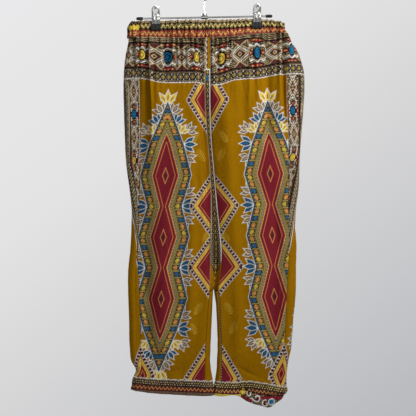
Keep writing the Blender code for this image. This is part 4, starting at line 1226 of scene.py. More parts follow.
def inside_of_leg(cloth, side, sections, drops, numbers, dyes):
    """The rest of a back panel, round the inside of the leg below the crotch."""
    low = [k for k, drop in enumerate(drops) if drop > CROTCH_DROP + SEAM_GAP]
    shares = np.concatenate([np.linspace(0, 1, INSIDE_COLUMNS), [1.0]])
    inner = [sections[k] for k in low]
    run = np.stack([s.back_seam + (s.end - s.back_seam - SEAM_GAP / 2) * shares for s in inner])
    x, y, nx, ny = np.stack([s.along(r) for s, r in zip(inner, run)], axis=1)
    drop = np.broadcast_to(drops[low][:, None], x.shape)
    from_end = run[:, -1:] - run
    height = seam_groove(from_end) + seam_groove(PANEL_BOTTOM - drop)
    height = height + 0.0006 * soft_waves(run, drop, 0.03, 0.12, 77) * smooth_step(0, 0.01, from_end)
    height[:, -1] -= SEAM_TURN
    height[-1] -= SEAM_TURN
    fall = true_drop(drop, x)
    fall[-1] += SEAM_TURN
    points = np.stack([x + nx * height, y + ny * height, WAIST_Z - fall], axis=-1)
    printed = Printed(x.shape, dyes)
    print_hem_edge(printed, run, fall - read_table(HEM, "band_top", x))
    numbers = np.concatenate([numbers[low, -1:], cloth.add(points[:, 1:], printed.colour[:, 1:])], axis=1)
    cloth.weave(numbers, np.stack([run, fall], axis=-1), side == "left", (0.88, 1.0))


def read_axis(side, drop):
    """x of the large figure's middle line."""
    return np.interp(drop, [row.drop for row in AXES], [getattr(row, side) for row in AXES])


def gusset(face, dyes, finish):
    """The long narrow wedge between the legs, from the casing to the crotch."""
    facing = -1 if face == "front" else 1
    columns, rows = GUSSET_GRID
    shares = with_turned_edges(np.linspace(0, 1, columns))
    drops = with_turned_edges(np.linspace(PANEL_TOP, CROTCH_DROP, rows))[:, None]
    left = read_table(SEAMS, "left_edge", drops) - SEAM_GAP / 2
    right = read_table(SEAMS, "right_edge", drops) + SEAM_GAP / 2
    x = right + (left - right) * shares
    drop = np.broadcast_to(drops, x.shape)
    folded = smooth_step(VALLEY_DROP, CROTCH_DROP, drop)
    depth = half_depth(x, drop)
    y = depth - folded * (depth - CLOTH_WALL - SEAM_GAP / 2) * np.sin(math.pi * shares)
    y = y + seam_groove(np.minimum(x - right, left - x)) + valley_height(drop, x - right, face)
    y = y + 0.0009 * np.sin(math.pi * shares) * soft_waves(x, drop, 0.03, 0.11, 31) * (1 - folded)
    fall = true_drop(drop, x)
    y[:, [0, -1]] -= SEAM_TURN
    y[[0, -1]] -= SEAM_TURN
    y = np.maximum(y, SEAM_GAP)
    fall[0] -= SEAM_TURN
    points = np.stack([x, facing * y, WAIST_Z - fall], axis=-1)

    printed = Printed(x.shape, dyes)
    print_gusset(printed, x - (left + right) / 2, (left - right) / 2, fall)
    cloth = Cloth()
    numbers = cloth.add(points, printed.colour)
    cloth.weave(numbers, np.stack([x, fall], axis=-1), face == "front")
    return cloth.finish(f"gusset_{face}_cloth", finish, f"gusset_{face}", "gusset_cloth")


# ---- Casing and hem bands ----------------------------------------

def casing_plan(face, columns):
    """Plan places of the casing at a few drops: the drops, and x, y and the normal (x, y) at each."""
    drops = np.linspace(0.0, CASING_DROP, CASING_LEVELS)
    shares = np.linspace(0, 1, columns)
    plans = []
    for drop in drops:
        if face == "front":
            low = read_table(SEAMS, "right_seam", drop) + SEAM_GAP / 2
            high = read_table(SEAMS, "left_seam", drop) - SEAM_GAP / 2
            x = low + (high - low) * shares
            plans.append([x, -half_depth(x, drop), 0 * x, 0 * x - 1])
            continue
        right, left = Section("right", drop), Section("left", drop)
        run_left = left.back_seam - left.side_seam - SEAM_GAP / 2
        run_right = right.back_seam - right.side_seam - SEAM_GAP / 2
        left_end, right_end = left.along(left.back_seam)[0], right.along(right.back_seam)[0]
        along = shares * (run_left + left_end - right_end + run_right)
        on_left = left.along(left.side_seam + SEAM_GAP / 2 + along)
        on_right = right.along(right.back_seam - (along - run_left - left_end + right_end))
        x = left_end - (along - run_left)
        between = np.array([x, half_depth(x, drop), 0 * x, 0 * x + 1])
        after = along > run_left + left_end - right_end
        plans.append(np.where(along < run_left, on_left, np.where(after, on_right, between)))
    return drops, np.array(plans)


def read_plan(drops, plans, at):
    """Plan places of every column at its own drop."""
    place = np.clip((at - drops[0]) / (drops[1] - drops[0]), 0, len(drops) - 1.001)
    low = place.astype(int)
    share = place - low
    column = np.broadcast_to(np.arange(plans.shape[2]), at.shape)
    return np.array([plans[low, k, column] * (1 - share) + plans[low + 1, k, column] * share
                     for k in range(4)])


def folded_strip(down, up, columns):
    """Places of the points round a folded strip: 0 to 1 down its outside, then 1 to 2 up its inside.

    With them come each point's share of the way down the strip, and whether it is on the outside.
    """
    rounds = np.concatenate([np.linspace(0, 1, down), np.linspace(1, 2, up)[1:-1]])[:, None]
    part = np.where(rounds <= 1, rounds, 2 - rounds) + np.zeros(columns)
    return rounds, part, rounds <= 1


def rolled_edges(part, tall, wall):
    """How far a folded strip's skins draw in at its rounded upper and lower edges."""
    radius = wall / 2
    inwards = np.clip(np.minimum(part, 1 - part) * tall / radius, 0, 1)
    return radius * (1 - np.sqrt(1 - (1 - inwards) ** 2))


def casing_gathers(share, part, face):
    """Height of the casing's gathers: puffs between sharp furrows, with finer ripples over them."""
    shift = 3 if face == "front" else 11
    wander = 0.34 * np.sin(23 * share + shift) + 0.24 * np.sin(41 * share + 2 * shift) + 0.16 * part
    lobe = share * CASING_PUFFS + wander
    index = np.floor(lobe)
    puff = np.sqrt(np.abs(np.sin(math.pi * lobe)) + 0.002)
    size = 0.45 + 0.55 * uneven(index + shift)
    fine = share * CASING_PUFFS * 2.9 + 0.5 * np.sin(61 * share) + 0.45 * np.sin(5 * part + 9 * share)
    ripple = np.sqrt(np.abs(np.sin(math.pi * fine)) + 0.002) - 0.7
    swell = 0.0006 * np.sin(2 * math.pi * CASING_GATHERS * share)
    return swell + 0.008 * size * (puff - 0.6) + 0.0018 * ripple * (1.25 - 0.5 * part)


def casing_furrows(face, from_right, from_left):
    """Height of the pleats that run on up from the panels below."""
    total = 0.0
    for side, run in (("right", from_right), ("left", from_left)):
        section = Section(side, PANEL_TOP)
        width = section.side_seam if face == "front" else section.back_seam - section.side_seam
        for pleat in PLEATS[side, face]:
            place = (1 - pleat.across if face == "front" else pleat.across) * width
            away = -(run - place) * pleat.turn * direction(side, face)
            total = total + pleat.depth * pleat_profile(away, 0.8 * pleat.half_width)
    return total


def casing(face, dyes, strength, finish):
    """The elastic casing at the waist: a strip folded over at the top and gathered on its elastic."""
    columns = CASING_COLUMNS[face]
    drops, plans = casing_plan(face, columns)
    rounds, part, outside = folded_strip(*CASING_ROUND, columns)
    drop = 0.04 * part
    for _ in range(4):                # the garment widens downwards, so place and drop settle together
        x, y, nx, ny = read_plan(drops, plans, drop)
        top = read_table(WAIST, "top", x)
        tall = read_table(WAIST, "casing_bottom", x) - SEAM_GAP - top
        drop = top + tall * part
    share = np.broadcast_to(np.linspace(0, 1, columns), x.shape)
    beside_grip = from_clip(x) - GRIP_WIDTH / 2
    free = smooth_step(0.001, 0.016, beside_grip) * fade_at_ends(share, 0.02)
    shown = np.hypot(np.diff(x, axis=1), np.diff(y, axis=1))
    run = np.concatenate([np.zeros((len(x), 1)), np.cumsum(shown, axis=1)], axis=1)
    ends = (run, run[:, -1:] - run) if face == "front" else (run[:, -1:] - run, run)
    furrows = 0.95 * casing_furrows(face, *ends) * (0.35 + 0.65 * part)
    gathers = np.maximum(casing_gathers(share, part, face) + furrows, 0.001 - CASING_WALL)
    cut_in = rolled_edges(part, tall, CASING_WALL)
    puffed = 0.0012 * np.sin(math.pi * part) * free
    stitched = -0.001 * bell(part - 0.93, 0.03) - 0.0008 * bell(part - 0.5, 0.022) * free
    gathered = strength * gathers * free * (0.35 + 0.65 * smooth_step(0, 0.08, part))
    height = np.where(outside, gathered + puffed + stitched - cut_in,
                      cut_in - CASING_WALL - 0.25 * gathers * free)
    ruffle = 0.65 * strength * np.clip(gathers, -0.0025, 0.0025) * free * (1 - smooth_step(0.0, 0.35, part))
    left_end = (x > 0) * np.abs(nx) * outside
    height = height + left_end * (CASING_FLARE * part - CASING_CORNER * (1 - part) ** 4)
    depth = np.maximum(np.abs(y) + height * np.abs(ny), SEAM_GAP / 2)
    py = np.where(np.abs(ny) > 0.6, np.sign(ny) * depth, y + ny * height)
    points = np.stack([x + nx * height, py, WAIST_Z - drop + ruffle], axis=-1)

    printed = Printed(x.shape, dyes)
    print_casing(printed, run + 0.35 * strength * gathers * free, part * CASING_PRINT)
    if face == "back":
        print_casing_corner(printed, ends[0], part * CASING_PRINT)
    cloth = Cloth()
    numbers = cloth.add(points, printed.colour)
    loop = np.concatenate([numbers, numbers[:1]])
    woven = np.stack([run, np.repeat(rounds * CASING_WEAVE, columns, axis=1)], axis=-1)
    cloth.weave(loop, np.concatenate([woven, woven[:1]]), False)
    cloth.cap(numbers[:, 0], True)
    cloth.cap(numbers[:, -1], False)
    return cloth.finish(f"waistband_{face}_cloth", finish, f"waistband_{face}", "waist_casing")


def hem_band(side, dyes, strength, finish):
    """The narrow band round one ankle: a folded strip, softly gathered, whose left front corner droops."""
    rounds, part, outside = folded_strip(*HEM_ROUND, HEM_COLUMNS)
    share = np.linspace(0, 1, HEM_COLUMNS, endpoint=False)
    levels = np.linspace(PANEL_BOTTOM, PANEL_BOTTOM + HEM_HEIGHT, HEM_LEVELS)
    sections = [Section(side, level) for level in levels]
    plans = np.stack([s.along(s.end * share) for s in sections])
    drops = PANEL_BOTTOM + HEM_HEIGHT * part
    x, y, nx, ny = read_plan(levels, plans, drops)
    top = read_table(HEM, "band_top", x)
    toward_back = 0.5 + 0.5 * y / half_depth(x, drops)
    bottom = (read_table(HEM, "front_bottom", x) * (1 - toward_back)
              + read_table(HEM, "back_bottom", x) * toward_back)
    tall = bottom - top
    fall = top + tall * part
    gathers = HEM_GATHER_HEIGHT * np.sin(2 * math.pi * HEM_GATHERS * share)
    puckers = 0.0006 * np.sin(2 * math.pi * HEM_GATHERS * 3.7 * share + 3 * np.sin(9 * share))
    waves = 0.0009 * soft_waves(0.4 * share, fall, 0.016, 0.06, 51 + SIDES[side])
    ripples = strength * (waves + puckers)
    cut_in = rolled_edges(part, tall, HEM_WALL)
    roll = 0.0014 * bell(tall * (1 - part) - 0.0045, 0.0042)
    stitched = -0.0008 * bell(part * tall - 0.0035, 0.0016)
    droop = 0.0
    if side == "left":
        crease = fall - (DROOP_DROP + DROOP_SLOPE * (x - DROOP_X)) - 0.003 * np.sin(60 * x)
        front = np.clip(1.6 * (0.5 - toward_back) + 0.2, 0, 1)
        reach = smooth_step(0.07, 0.1, x) * front * (1 - smooth_step(0.185, 0.2, x))
        crumple = 0.0052 + 0.002 * np.sin(2 * math.pi * (x * 34 + fall * 22))
        droop = reach * strength * (crumple * smooth_step(0.0, 0.01, crease) - 0.003 * bell(crease, 0.0035))
    height = np.where(outside, gathers + ripples + roll + stitched + droop - cut_in,
                      gathers + 0.3 * ripples + cut_in - HEM_WALL)
    points = np.stack([x + nx * height, y + ny * height, WAIST_Z - fall], axis=-1)

    run = sections[0].end * share + np.zeros(x.shape)
    printed = Printed(x.shape, dyes)
    print_hem_band(printed, run, fall - top, *HEM_COLOURS[side])
    if side == "left":
        print_drooping_corner(printed, x, fall, crease, reach)
    cloth = Cloth()
    numbers = cloth.add(points, printed.colour)
    ring = np.concatenate([numbers, numbers[:, :1]], axis=1)
    run = np.concatenate([run, run[:, :1] + sections[0].end], axis=1)
    woven = np.stack([run, np.repeat(rounds * HEM_WEAVE, run.shape[1], axis=1)], axis=-1)
    cloth.weave(np.concatenate([ring, ring[:1]]), np.concatenate([woven, woven[:1]]), side == "left")
    return cloth.finish(f"{side}_hem_band_cloth", finish, f"{side}_hem_band", "hem_cloth")


# ---- Hanger ------------------------------------------------------

HOOK_WIRE_RADIUS = 0.0018
HOOK_BEND_RADIUS = 0.0245
HOOK_SHAFT_TOP = 0.04
HOOK_LOOP_ANGLES = (-52, 190)
SHAFT_STEPS, BEND_STEPS, LOOP_STEPS = 10, 12, 72
COLLAR_RADIUS = 0.007
COLLAR_HEIGHT = 0.005
SLEEVE_RADIUS = 0.0048
SLEEVE_LENGTH = 0.018
CAP_RADIUS = 0.004
CAP_LENGTH = 0.017
CLIP_WIDTH = 0.0205
CLIP_PLATE = 0.0012
CLIP_TOP = 0.029
CLIP_HALF_DEPTH = {"grip": 0.0058, "bar": 0.0098, "top": 0.0165}
EAR_RADIUS = 0.0042
EAR_INSET = {"front": 0.0008, "back": 0.0024}
SPRING_RADIUS = 0.0041
SPRING_HALF_LENGTH = 0.006
SPRING_TURNS = 6
GRIP_TOP_DROP = 0.0078
GRIP_BOTTOM_DROP = 0.0244
GRIP_WIDTH = 0.0256
GRIP_THICKNESS = 0.0046
GRIP_RIBS, RIB_HEIGHT = 7, 0.0009
BORE = BAR_RADIUS + SEAM_GAP


def mesh_from(name, bm, crease_angle=35.0):
    """Finish a bmesh as a mesh, with sharp edges kept sharp."""
    bmesh.ops.recalc_face_normals(bm, faces=bm.faces[:])
    for edge in bm.edges:
        if len(edge.link_faces) == 2 and edge.calc_face_angle(0.0) > math.radians(crease_angle):
            edge.smooth = False
    mesh = bpy.data.meshes.new(name)
    bm.to_mesh(mesh)
    bm.free()
    return mesh


def bridge(bm, rings):
    """Faces from each ring of points to the next; a ring may be a single point."""
    sides = max(len(ring) for ring in rings)
    for lower, upper in zip(rings, rings[1:]):
        for k in range(sides):
            after = (k + 1) % sides
            corners = [lower[k % len(lower)], lower[after % len(lower)],
                       upper[after % len(upper)], upper[k % len(upper)]]
            bm.faces.new(list(dict.fromkeys(corners)))


def turned(name, profile, axis, centre, sides):
    """Mesh turned from (distance along the axis, radius) points; a closed ring if no radius is 0."""
    bm = bmesh.new()
    along = Vector(axis).normalized()
    one = along.orthogonal().normalized()
    other = along.cross(one)
    rings = []
    for reach, radius in profile:
        foot = Vector(centre) + along * reach
        angles = [2 * math.pi * k / sides for k in range(sides if radius else 1)]
        rings.append([bm.verts.new(foot + (one * math.cos(a) + other * math.sin(a)) * radius)
                      for a in angles])
    hollow = all(radius > 0 for _, radius in profile)
    bridge(bm, rings + rings[:1] if hollow else rings)
    return mesh_from(name, bm)


def rounded_end(tip, inner, radius):
    """Places and radii that round off a wire's end, from the tip inwards."""
    way = (tip - inner).normalized() * radius / 2
    return [(tip + way * (1 - s), radius * math.sqrt(max(s * (2 - s), 0.05))) for s in (0.0, 0.35, 0.75)]


def wire(bm, points, radius, sides, beside):
    """Round wire along points, with softly rounded ends; beside is a direction off its plane."""
    stations = rounded_end(points[0], points[1], radius) + [(p, radius) for p in points]
    stations += rounded_end(points[-1], points[-2], radius)[::-1]
    rings = []
    for number, (point, size) in enumerate(stations):
        before, after = stations[max(number - 1, 0)][0], stations[min(number + 1, len(stations) - 1)][0]
        tangent = (after - before).normalized()
        lift = tangent.cross(beside).normalized()
        flat = lift.cross(tangent).normalized()
        rings.append([bm.verts.new(point + (flat * math.cos(a) + lift * math.sin(a)) * size)
                      for a in (2 * math.pi * k / sides for k in range(sides))])
    bridge(bm, rings)
    bm.faces.new(rings[0])
    bm.faces.new(rings[-1][::-1])


def hook(finish, sides):
    """The wire hook: a short shaft, a bend, and a round loop open on the garment's right."""
    centre = Vector((0, 0, HOOK_WIRE_RADIUS - HOOK_BEND_RADIUS))
    foot_z = BAR_Z + SLEEVE_RADIUS + SEAM_GAP + HOOK_WIRE_RADIUS
    shaft = BAR_Z + HOOK_SHAFT_TOP - foot_z
    first, last = (math.radians(angle) for angle in HOOK_LOOP_ANGLES)
    loop = []
    for k in range(LOOP_STEPS + 1):
        angle = first + (last - first) * k / LOOP_STEPS
        loop.append(centre + HOOK_BEND_RADIUS * Vector((math.cos(angle), 0, math.sin(angle))))
    points = [Vector((0, 0, foot_z + shaft * k / SHAFT_STEPS)) for k in range(SHAFT_STEPS + 1)]
    top, start = points[-1], loop[0]
    pull_up = top + Vector((0, 0, 0.005))
    pull_back = start - Vector((-math.sin(first), 0, math.cos(first))) * 0.005
    for k in range(1, BEND_STEPS):    # the bend from the shaft into the loop
        t = k / BEND_STEPS
        points.append(top * (1 - t) ** 3 + pull_up * 3 * t * (1 - t) ** 2
                      + pull_back * 3 * t * t * (1 - t) + start * t ** 3)
    bm = bmesh.new()
    wire(bm, points + loop, HOOK_WIRE_RADIUS, sides, Vector((0, 1, 0)))
    place_piece("hook_wire", mesh_from("hook_wire", bm), finish, "hook")


def bevelled(half, radius, inner):
    """Profile of a rod or sleeve of this half length, with bevelled ends."""
    edge = 0.0004
    return [(-half, inner), (-half, radius - edge), (edge - half, radius),
            (half - edge, radius), (half, radius - edge), (half, inner)]


def end_cap_profile(end):
    """Profile of a rubber cap over the bar's end: a bored mouth, three ribs and a domed tip."""
    mouth, floor = end - CAP_LENGTH / 2, end + SEAM_GAP
    tip = mouth + CAP_LENGTH
    ribs = [(mouth + 0.003 + 0.0011 * k + shift, CAP_RADIUS * size)
            for k in range(3) for shift, size in ((0.0, 0.95), (0.00055, 1.0))]
    dome = [(tip - 0.0045 * (1 - math.sin(a)), CAP_RADIUS * math.cos(a) ** 0.8)
            for a in (math.radians(9 * k) for k in range(1, 10))]
    return [(floor, 0), (floor, BORE), (mouth, BORE), (mouth, 0.88 * CAP_RADIUS),
            (mouth + 0.001, CAP_RADIUS), *ribs, *dome, (tip, 0)]


def bar(metal, rubber, sides):
    """The bar with its rubber caps, the sleeve at its middle and the collar that holds the hook."""
    centre = (0, 0, BAR_Z)
    rod = turned("bar_rod", bevelled(BAR_HALF_LENGTH, BAR_RADIUS, 0), (1, 0, 0), centre, sides)
    place_piece("bar_rod", rod, metal, "hanger_bar")
    for side, sign in SIDES.items():
        cap = turned(f"{side}_end_cap", end_cap_profile(BAR_HALF_LENGTH), (sign, 0, 0), centre, sides)
        place_piece(f"{side}_end_cap", cap, rubber, f"{side}_bar_cap")
    profile = bevelled(SLEEVE_LENGTH / 2, SLEEVE_RADIUS, BORE)
    sleeve = turned("bar_sleeve", profile, (1, 0, 0), centre, sides)
    place_piece("bar_sleeve", sleeve, metal, "hook_sleeve")
    hole = HOOK_WIRE_RADIUS + SEAM_GAP
    outline = [(0, 0.85), (0.0008, 1.0), (COLLAR_HEIGHT - 0.0014, 1.0), (COLLAR_HEIGHT - 0.0004, 0.86),
               (COLLAR_HEIGHT, 0.7)]
    profile = [(height, size * COLLAR_RADIUS) for height, size in outline]
    seat = (0, 0, BAR_Z + SLEEVE_RADIUS + SEAM_GAP)
    nut = turned("hook_nut", [(0, hole), *profile, (COLLAR_HEIGHT, hole)], (0, 0, 1), seat, sides)
    place_piece("hook_nut", nut, metal, "hook_collar")


def jaw_plate(bm, clip_x, facing):
    """The pressed plate of one jaw, with a channel between two ribs and a thumb dimple."""
    rounding, depth = CLIP_WIDTH / 2, CLIP_HALF_DEPTH
    foot, shoulder = WAIST_Z - GRIP_TOP_DROP + SEAM_GAP, BAR_Z + CLIP_TOP - rounding
    heights = np.concatenate([np.linspace(foot, shoulder, 30),
                              shoulder + rounding * 0.999 * np.sin(np.linspace(0, math.pi / 2, 15)[1:])])
    stations = [foot, BAR_Z - 0.006, BAR_Z, BAR_Z + 0.008, BAR_Z + CLIP_TOP]
    spread = np.interp(heights, stations, [depth["grip"], depth["bar"] - 0.0006, depth["bar"],
                                           depth["bar"] + 0.001, depth["top"]])
    half_width = np.interp(heights, stations[:4], np.array([0.53, 0.5, 0.5, 0.49]) * CLIP_WIDTH)
    over = np.clip((heights - shoulder) / rounding, 0, 1)
    half_width = np.maximum(half_width * np.sqrt(1 - over ** 2), 0.0022)
    across = np.linspace(-1, 1, 33)
    width, height = half_width[:, None] * across, heights[:, None] + 0 * across
    lower = 1 - smooth_step(BAR_Z + 0.004, BAR_Z + 0.01, height)
    press = 0.0019 * (1 - across ** 2)
    press = press + lower * (0.0009 * bell(np.abs(width) - 0.0046, 0.0011) - 0.0011 * bell(width, 0.0026))
    press = press - 0.001 * bell(np.hypot(width, height - BAR_Z - 0.0195), 0.0048)
    rim = 0.0005 * smooth_step(0.9, 1.0, np.abs(across))
    outer_y = spread[:, None] + press - rim
    skins = []
    for reach in (outer_y, outer_y - CLIP_PLATE):
        skins.append([[bm.verts.new((clip_x + w, facing * d, h)) for w, d, h in zip(*row)]
                      for row in zip(width, reach, height)])
    rows, columns = height.shape
    for skin in skins:
        for i in range(rows - 1):
            for j in range(columns - 1):
                bm.faces.new([skin[i][j], skin[i][j + 1], skin[i + 1][j + 1], skin[i + 1][j]])
    outer, inner = skins
    top, right = rows - 1, columns - 1
    rim_path = [(0, j) for j in range(right)] + [(i, right) for i in range(top)]
    rim_path += [(top, j) for j in range(right, 0, -1)] + [(i, 0) for i in range(top, 0, -1)]
    for (i, j), (k, m) in zip(rim_path, rim_path[1:] + rim_path[:1]):
        bm.faces.new([outer[i][j], outer[k][m], inner[k][m], inner[i][j]])


def jaw_ear(bm, clip_x, facing, sign):
    """One side wall of a jaw, bored for the bar."""
    width = CLIP_WIDTH / 2 - EAR_INSET["front" if facing < 0 else "back"]
    reach = CLIP_HALF_DEPTH["bar"] - CLIP_PLATE / 2
    arc = [math.radians(90 - 180 * k / 20) for k in range(21)]
    outline = [(EAR_RADIUS * math.cos(a), EAR_RADIUS * math.sin(a)) for a in arc]
    outline += [(-reach, -EAR_RADIUS - 0.002), (-reach, EAR_RADIUS + 0.003)]
    hole = [(BORE * math.cos(a), BORE * math.sin(a)) for a in (2 * math.pi * k / 32 for k in range(32))]
    edges = []
    for loop in (outline, hole):
        corners = [bm.verts.new((clip_x + sign * width, -facing * y, BAR_Z + z)) for y, z in loop]
        edges += [bm.edges.new((a, b)) for a, b in zip(corners, corners[1:] + corners[:1])]
    filled = bmesh.ops.triangle_fill(bm, edges=edges, use_beauty=True)
    faces = [part for part in filled["geom"] if isinstance(part, bmesh.types.BMFace)]
    pushed = bmesh.ops.extrude_face_region(bm, geom=faces, use_keep_orig=True)
    moved = [part for part in pushed["geom"] if isinstance(part, bmesh.types.BMVert)]
    bmesh.ops.translate(bm, vec=(-sign * CLIP_PLATE, 0, 0), verts=moved)


def clip_jaw(side, face, finish):
    """One jaw of a clip: its pressed plate and two ears round the bar."""
    facing = -1 if face == "front" else 1
    bm = bmesh.new()
    jaw_plate(bm, CLIP_X[side], facing)
    for sign in (-1, 1):
        jaw_ear(bm, CLIP_X[side], facing, sign)
    name = f"{side}_clip_{face}_plate"
    place_piece(name, mesh_from(name, bm), finish, f"{side}_clip_{face}_jaw")


def clip_grip(side, face, finish):
    """The ribbed rubber boot on a jaw's tip, pressing on the casing."""
    facing = -1 if face == "front" else 1
    near = PINCH_HALF_DEPTH + SEAM_GAP
    far = near + GRIP_THICKNESS
    low, high = WAIST_Z - GRIP_BOTTOM_DROP, WAIST_Z - GRIP_TOP_DROP
    across = np.linspace(-GRIP_WIDTH / 2, GRIP_WIDTH / 2, GRIP_RIBS * 8 + 1)
    rise = RIB_HEIGHT * np.sqrt(np.abs(np.cos(math.pi * across * GRIP_RIBS / GRIP_WIDTH)))
    skin = [(x, far - RIB_HEIGHT + r) for x, r in zip(across, rise)]
    outline = [(-GRIP_WIDTH / 2, near)] + skin + [(GRIP_WIDTH / 2, near)]
    bm = bmesh.new()
    loops = []
    for z, inset in ((low, 0.0012), (low + 0.0005, 0.0004), (low + 0.0014, 0.0), (high - 0.0014, 0.0),
                     (high - 0.0005, 0.0004), (high, 0.0012)):
        loops.append([bm.verts.new((CLIP_X[side] + x * (1 - 2 * inset / GRIP_WIDTH),
                                    facing * (y - inset if y > near else y), z)) for x, y in outline])
    bridge(bm, loops)
    bm.faces.new(loops[0])
    bm.faces.new(loops[-1])
    name = f"{side}_clip_{face}_boot"
    place_piece(name, mesh_from(name, bm), finish, f"{side}_clip_{face}_grip")


def clip_spring(side, finish):
    """The coil spring round the bar, whose two legs press the jaws' thumb ends apart."""
    wire_radius = (SPRING_RADIUS - BORE) / 2
    coil = SPRING_RADIUS - wire_radius
    half = SPRING_HALF_LENGTH - wire_radius
    legs = [[Vector((CLIP_X[side] + sign * half, sign * (coil + 0.0052 * t), BAR_Z + 0.0175 * t))
             for t in (1.0, 0.75, 0.5, 0.25)] for sign in (-1, 1)]
    helix = []
    steps = 24 * SPRING_TURNS + 12
    for k in range(steps + 1):
        angle = math.pi - 2 * math.pi * (SPRING_TURNS + 0.5) * k / steps
        helix.append(Vector((CLIP_X[side] - half + 2 * half * k / steps,
                             coil * math.cos(angle), BAR_Z + coil * math.sin(angle))))
    bm = bmesh.new()
    wire(bm, legs[0] + helix + legs[1][::-1], wire_radius * 0.92, 10, Vector((1, 0, 0)))
    name = f"{side}_clip_coil"
    place_piece(name, mesh_from(name, bm, 80), finish, f"{side}_clip_spring")


# ---- Materials ---------------------------------------------------

class NodeBench:
    """Short calls for building the nodes of one material or surround."""

    def __init__(self, owner, shader="Principled BSDF"):
        owner.use_nodes = True
        self.owner, self.tree = owner, owner.node_tree
        self.shader = self.tree.nodes[shader]

    def put(self, socket, value):
        """Link an output to a socket, or set its value."""
        if isinstance(value, bpy.types.NodeSocket):
            self.tree.links.new(value, socket)
        else:
            socket.default_value = value

    def node(self, kind, inputs=(), **settings):
        """Add one node; inputs are (socket, value or output) pairs."""
        made = self.tree.nodes.new(kind)
        for key, value in settings.items():
            setattr(made, key, value)
        for socket, value in inputs:
            self.put(made.inputs[socket], value)
        return made

    def math(self, operation, first, second=0.0):
        """One Math node's output."""
        return self.node("ShaderNodeMath", ((0, first), (1, second)), operation=operation).outputs[0]

    def noise(self, vector, scale, detail=2.0, rough=0.5):
        """A noise texture's value."""
        inputs = (("Vector", vector), ("Scale", scale), ("Detail", detail), ("Roughness", rough))
        return self.node("ShaderNodeTexNoise", inputs).outputs["Fac"]

    def fit(self, value, low, high, new_low=0.0, new_high=1.0):
        """A value mapped from one range to another."""
        inputs = (("Value", value), ("From Min", low), ("From Max", high), ("To Min", new_low),
                  ("To Max", new_high))
        return self.node("ShaderNodeMapRange", inputs).outputs["Result"]

    def tint(self, factor, first, second):
        """Two colours mixed by a factor."""
        inputs = ((0, factor), (6, first), (7, second))
        return self.node("ShaderNodeMix", inputs, data_type="RGBA").outputs[2]

    def bump(self, height, distance, strength):
        """Tilt the shader's normal by a height."""
        inputs = (("Height", height), ("Distance", distance), ("Strength", strength))
        self.put(self.shader.inputs["Normal"], self.node("ShaderNodeBump", inputs).outputs["Normal"])

    def surface(self, cloud, roughness, clean, dusty, where=(0.3, 0.7), most=1.0):
        """A clean colour that turns dusty where a cloud is dense, and the range of its roughness."""
        dust = self.fit(cloud, *where, 0.0, most)
        self.put(self.shader.inputs["Base Color"], self.tint(dust, (*clean, 1.0), (*dusty, 1.0)))
        self.put(self.shader.inputs["Roughness"], self.fit(cloud, 0.3, 0.7, *roughness))


def new_bench(name):
    """A new material's bench, and its object coordinates."""
    bench = NodeBench(bpy.data.materials.new(name))
    return bench, bench.node("ShaderNodeTexCoord").outputs["Object"]


def printed_cotton(name, pitch, nap):
    """Printed plain-weave cotton: dyes that vary with the yarns, a fine weave and a soft dry surface."""
    bench = NodeBench(bpy.data.materials.new(name))
    printed = bench.node("ShaderNodeAttribute", attribute_name="printed").outputs["Color"]
    woven = bench.node("ShaderNodeUVMap", uv_map="woven").outputs["UV"]
    apart = bench.node("ShaderNodeSeparateXYZ", ((0, woven),)).outputs
    warp, weft = (bench.math("SINE", bench.math("MULTIPLY", apart[k], math.pi / pitch)) for k in (0, 1))
    weave = bench.math("ABSOLUTE", bench.math("MULTIPLY", warp, weft))
    long, wide = (bench.node("ShaderNodeMapping", (("Vector", woven), ("Scale", stretch))).outputs[0]
                  for stretch in ((1.0, 0.12, 1.0), (0.12, 1.0, 1.0)))
    slubs, yarns = bench.noise(long, 900.0), bench.noise(wide, 1100.0)
    mottle = bench.noise(woven, 260.0, 4.0, 0.65)
    fading = bench.noise(woven, 14.0, 3.0, 0.6)
    value = bench.fit(mottle, 0.25, 0.75, 0.8, 1.2)
    value = bench.math("MULTIPLY", value, bench.fit(fading, 0.3, 0.7, 0.93, 1.06))
    value = bench.math("MULTIPLY", value, bench.fit(weave, 0.0, 1.0, 0.94, 1.04))
    tone = bench.node("ShaderNodeHueSaturation", (("Value", value), ("Color", printed)))
    worn = bench.fit(bench.math("MULTIPLY", slubs, yarns), 0.28, 0.5, 0.0, 0.012)
    faded = bench.tint(worn, tone.outputs["Color"], (0.42, 0.36, 0.28, 1.0))
    bench.put(bench.shader.inputs["Base Color"], faded)
    bench.put(bench.shader.inputs["Roughness"], bench.fit(mottle, 0.2, 0.8, 0.74, 0.92))
    height = bench.math("ADD", bench.math("MULTIPLY", weave, 0.6), bench.math("MULTIPLY", slubs, 0.5))
    bench.bump(height, 0.00012, 0.8)
    bench.shader.inputs["Sheen Weight"].default_value = nap
    bench.shader.inputs["Sheen Roughness"].default_value = 0.45
    bench.shader.inputs["Specular IOR Level"].default_value = 0.02
    return bench.owner


def chrome_plate(name, colour, roughness):
    """Bright plated steel with faint wiping marks."""
    bench, place = new_bench(name)
    marks = bench.noise(place, 60.0, 4.0, 0.6)
    bench.surface(marks, (roughness, roughness + 0.1), colour, (0.6, 0.59, 0.57), (0.35, 0.7), 0.3)
    bench.bump(bench.noise(place, 900.0), 0.00002, 0.4)
    bench.shader.inputs["Metallic"].default_value = 1.0
    return bench.owner


def black_rubber(name, colour):
    """Moulded black rubber, a little dusty."""
    bench, place = new_bench(name)
    dust = bench.noise(place, 350.0, 4.0, 0.7)
    bench.surface(dust, (0.42, 0.68), colour, (0.05, 0.05, 0.048), (0.5, 0.8), 0.14)
    bench.bump(dust, 0.00008, 0.6)
    bench.shader.inputs["Specular IOR Level"].default_value = 0.4
    return bench.owner


